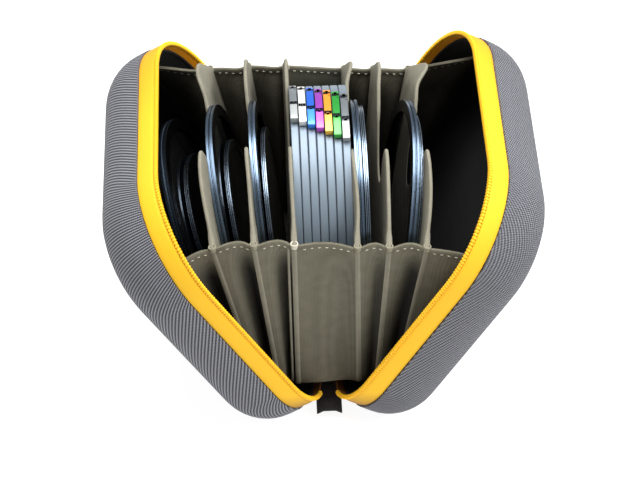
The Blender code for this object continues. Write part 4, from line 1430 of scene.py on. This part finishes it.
# Pocket, its leaf, the leaf with the higher floor, side of the leaf, what touches it, shift
for pocket, leaf, higher, direction, nearest, shift in (
        (2, 0, 0, -1, "round", 0.0), (3, 1, 1, -1, "round", 0.0),
        (5, 3, 4, 1, "round", PAIR_5_SHIFT), (6, 5, 5, -1, "cap", PAIR_6_SHIFT)):
    bottom = leaf_floor(higher) + floor_rise
    near_half = DISC_THICKNESS / 2 if nearest == "round" else CAP_THICKNESS / 2
    near_off = leaf_offset(leaf) + direction * (beside_leaf + near_half)
    far_off = near_off + direction * filter_to_cap
    offs = (near_off, far_off) if nearest == "round" else (far_off, near_off)
    places.append((pocket, *LEAVES[leaf][:2], *offs, bottom, bottom + CAP_BOTTOM_RISE, shift))
for pocket, side, angle, round_off, cap_off, round_bottom, cap_bottom, shift in places:
    body = f"round_filter_{pocket}"
    at = disc_matrix(side, angle, round_bottom + ROUND_R, round_off, shift)
    piece = dress(copy_of(round_template, body + "_frame", at), [round_metal, cap_metal], body,
                  f"round_frame_{pocket}")
    piece.data.polygons.foreach_set("material_index", dark_faces)
    dress(copy_of(round_glass_template, body + "_glass", at), [glass], body,
          f"round_glass_{pocket}")
    cap, ridges = thin_cap(f"thin_disc_{pocket}_rim", CAP_RADII[pocket])
    place(cap, disc_matrix(side, angle, cap_bottom + CAP_RADII[pocket], cap_off, shift))
    dress(cap, [cap_metal, ridge_metal], f"thin_disc_{pocket}", f"cap_{pocket}")
    cap.data.polygons.foreach_set("material_index", ridges)

webbing = hinge_webbing("hinge_webbing_strip")
dress(webbing, [webbing_cloth], "spine", "hinge_webbing")
slider_body, slider_pivot = slider("slider_cast")
dress(slider_body, [zip_metal], "spine", "zip_slider")
dress(zip_pull("pull_stamped", slider_pivot), [zip_metal], "pull", "zip_pull")
remove(tooth, stitch, tack, pack_template, pack_glass_template, tab_template, round_template,
       round_glass_template)

# Floor, light and camera
FLOOR_SIZE = 6.0
FLOOR_GLOW = 0.90
WORLD_LIGHT = 0.36
bpy.context.scene.view_settings.view_transform = "Standard"
floor = start_piece("floor", bpy.ops.mesh.primitive_plane_add, size=FLOOR_SIZE)
# Glows a little, so that it stays white all the way back and keeps only a faint shadow
floor.data.materials.append(new_material("lit_white_floor", Base_Color=linear("A0A09E"), Roughness=0.9,
                                         Emission_Color=linear("FFFFFF"),
                                         Emission_Strength=FLOOR_GLOW)[0])

world = bpy.data.worlds.new("studio")
bpy.context.scene.world = world
world.use_nodes = True
world.node_tree.nodes["Background"].inputs[0].default_value = linear("FFFFFF")
world.node_tree.nodes["Background"].inputs[1].default_value = WORLD_LIGHT

# Each light's place, size in metres and power in watts
LIGHT_AIM = Vector((0.0, 0.0, 0.05))
for name, at, size, power in (("key", (0.60, -0.30, 0.65), 0.35, 5.0),
                              ("top", (0.0, 0.16, 0.95), 0.7, 13.0)):
    light = bpy.data.lights.new(name, "AREA")
    light.size = size
    light.energy = power
    lamp = bpy.data.objects.new(name, light)
    lamp.location = at
    lamp.rotation_euler = (LIGHT_AIM - Vector(at)).to_track_quat("-Z", "Y").to_euler()
    bpy.context.scene.collection.objects.link(lamp)

ELEVATION = math.radians(41.9898)
YAW = math.radians(1.4225)
ROLL = math.radians(-1.3077)
CAMERA_DISTANCE = 0.98466
FOCAL_PIXELS = 2622.17
PICTURE_WIDTH = 640
aim = Vector((-0.000787, 0.0, HINGE_Z + 0.03293))
forward = Vector((math.sin(YAW) * math.cos(ELEVATION), math.cos(YAW) * math.cos(ELEVATION),
                  -math.sin(ELEVATION)))
right = Vector((math.cos(YAW), -math.sin(YAW), 0.0))
up = right.cross(forward)
camera_x = right * math.cos(ROLL) + up * math.sin(ROLL)
lens = bpy.data.cameras.new("camera")
lens.sensor_width = 36.0
lens.lens = lens.sensor_width * FOCAL_PIXELS / PICTURE_WIDTH
camera = bpy.data.objects.new("camera", lens)
camera.matrix_world = axes_matrix(aim - forward * CAMERA_DISTANCE, camera_x, -forward)
bpy.context.scene.collection.objects.link(camera)
bpy.context.scene.camera = camera
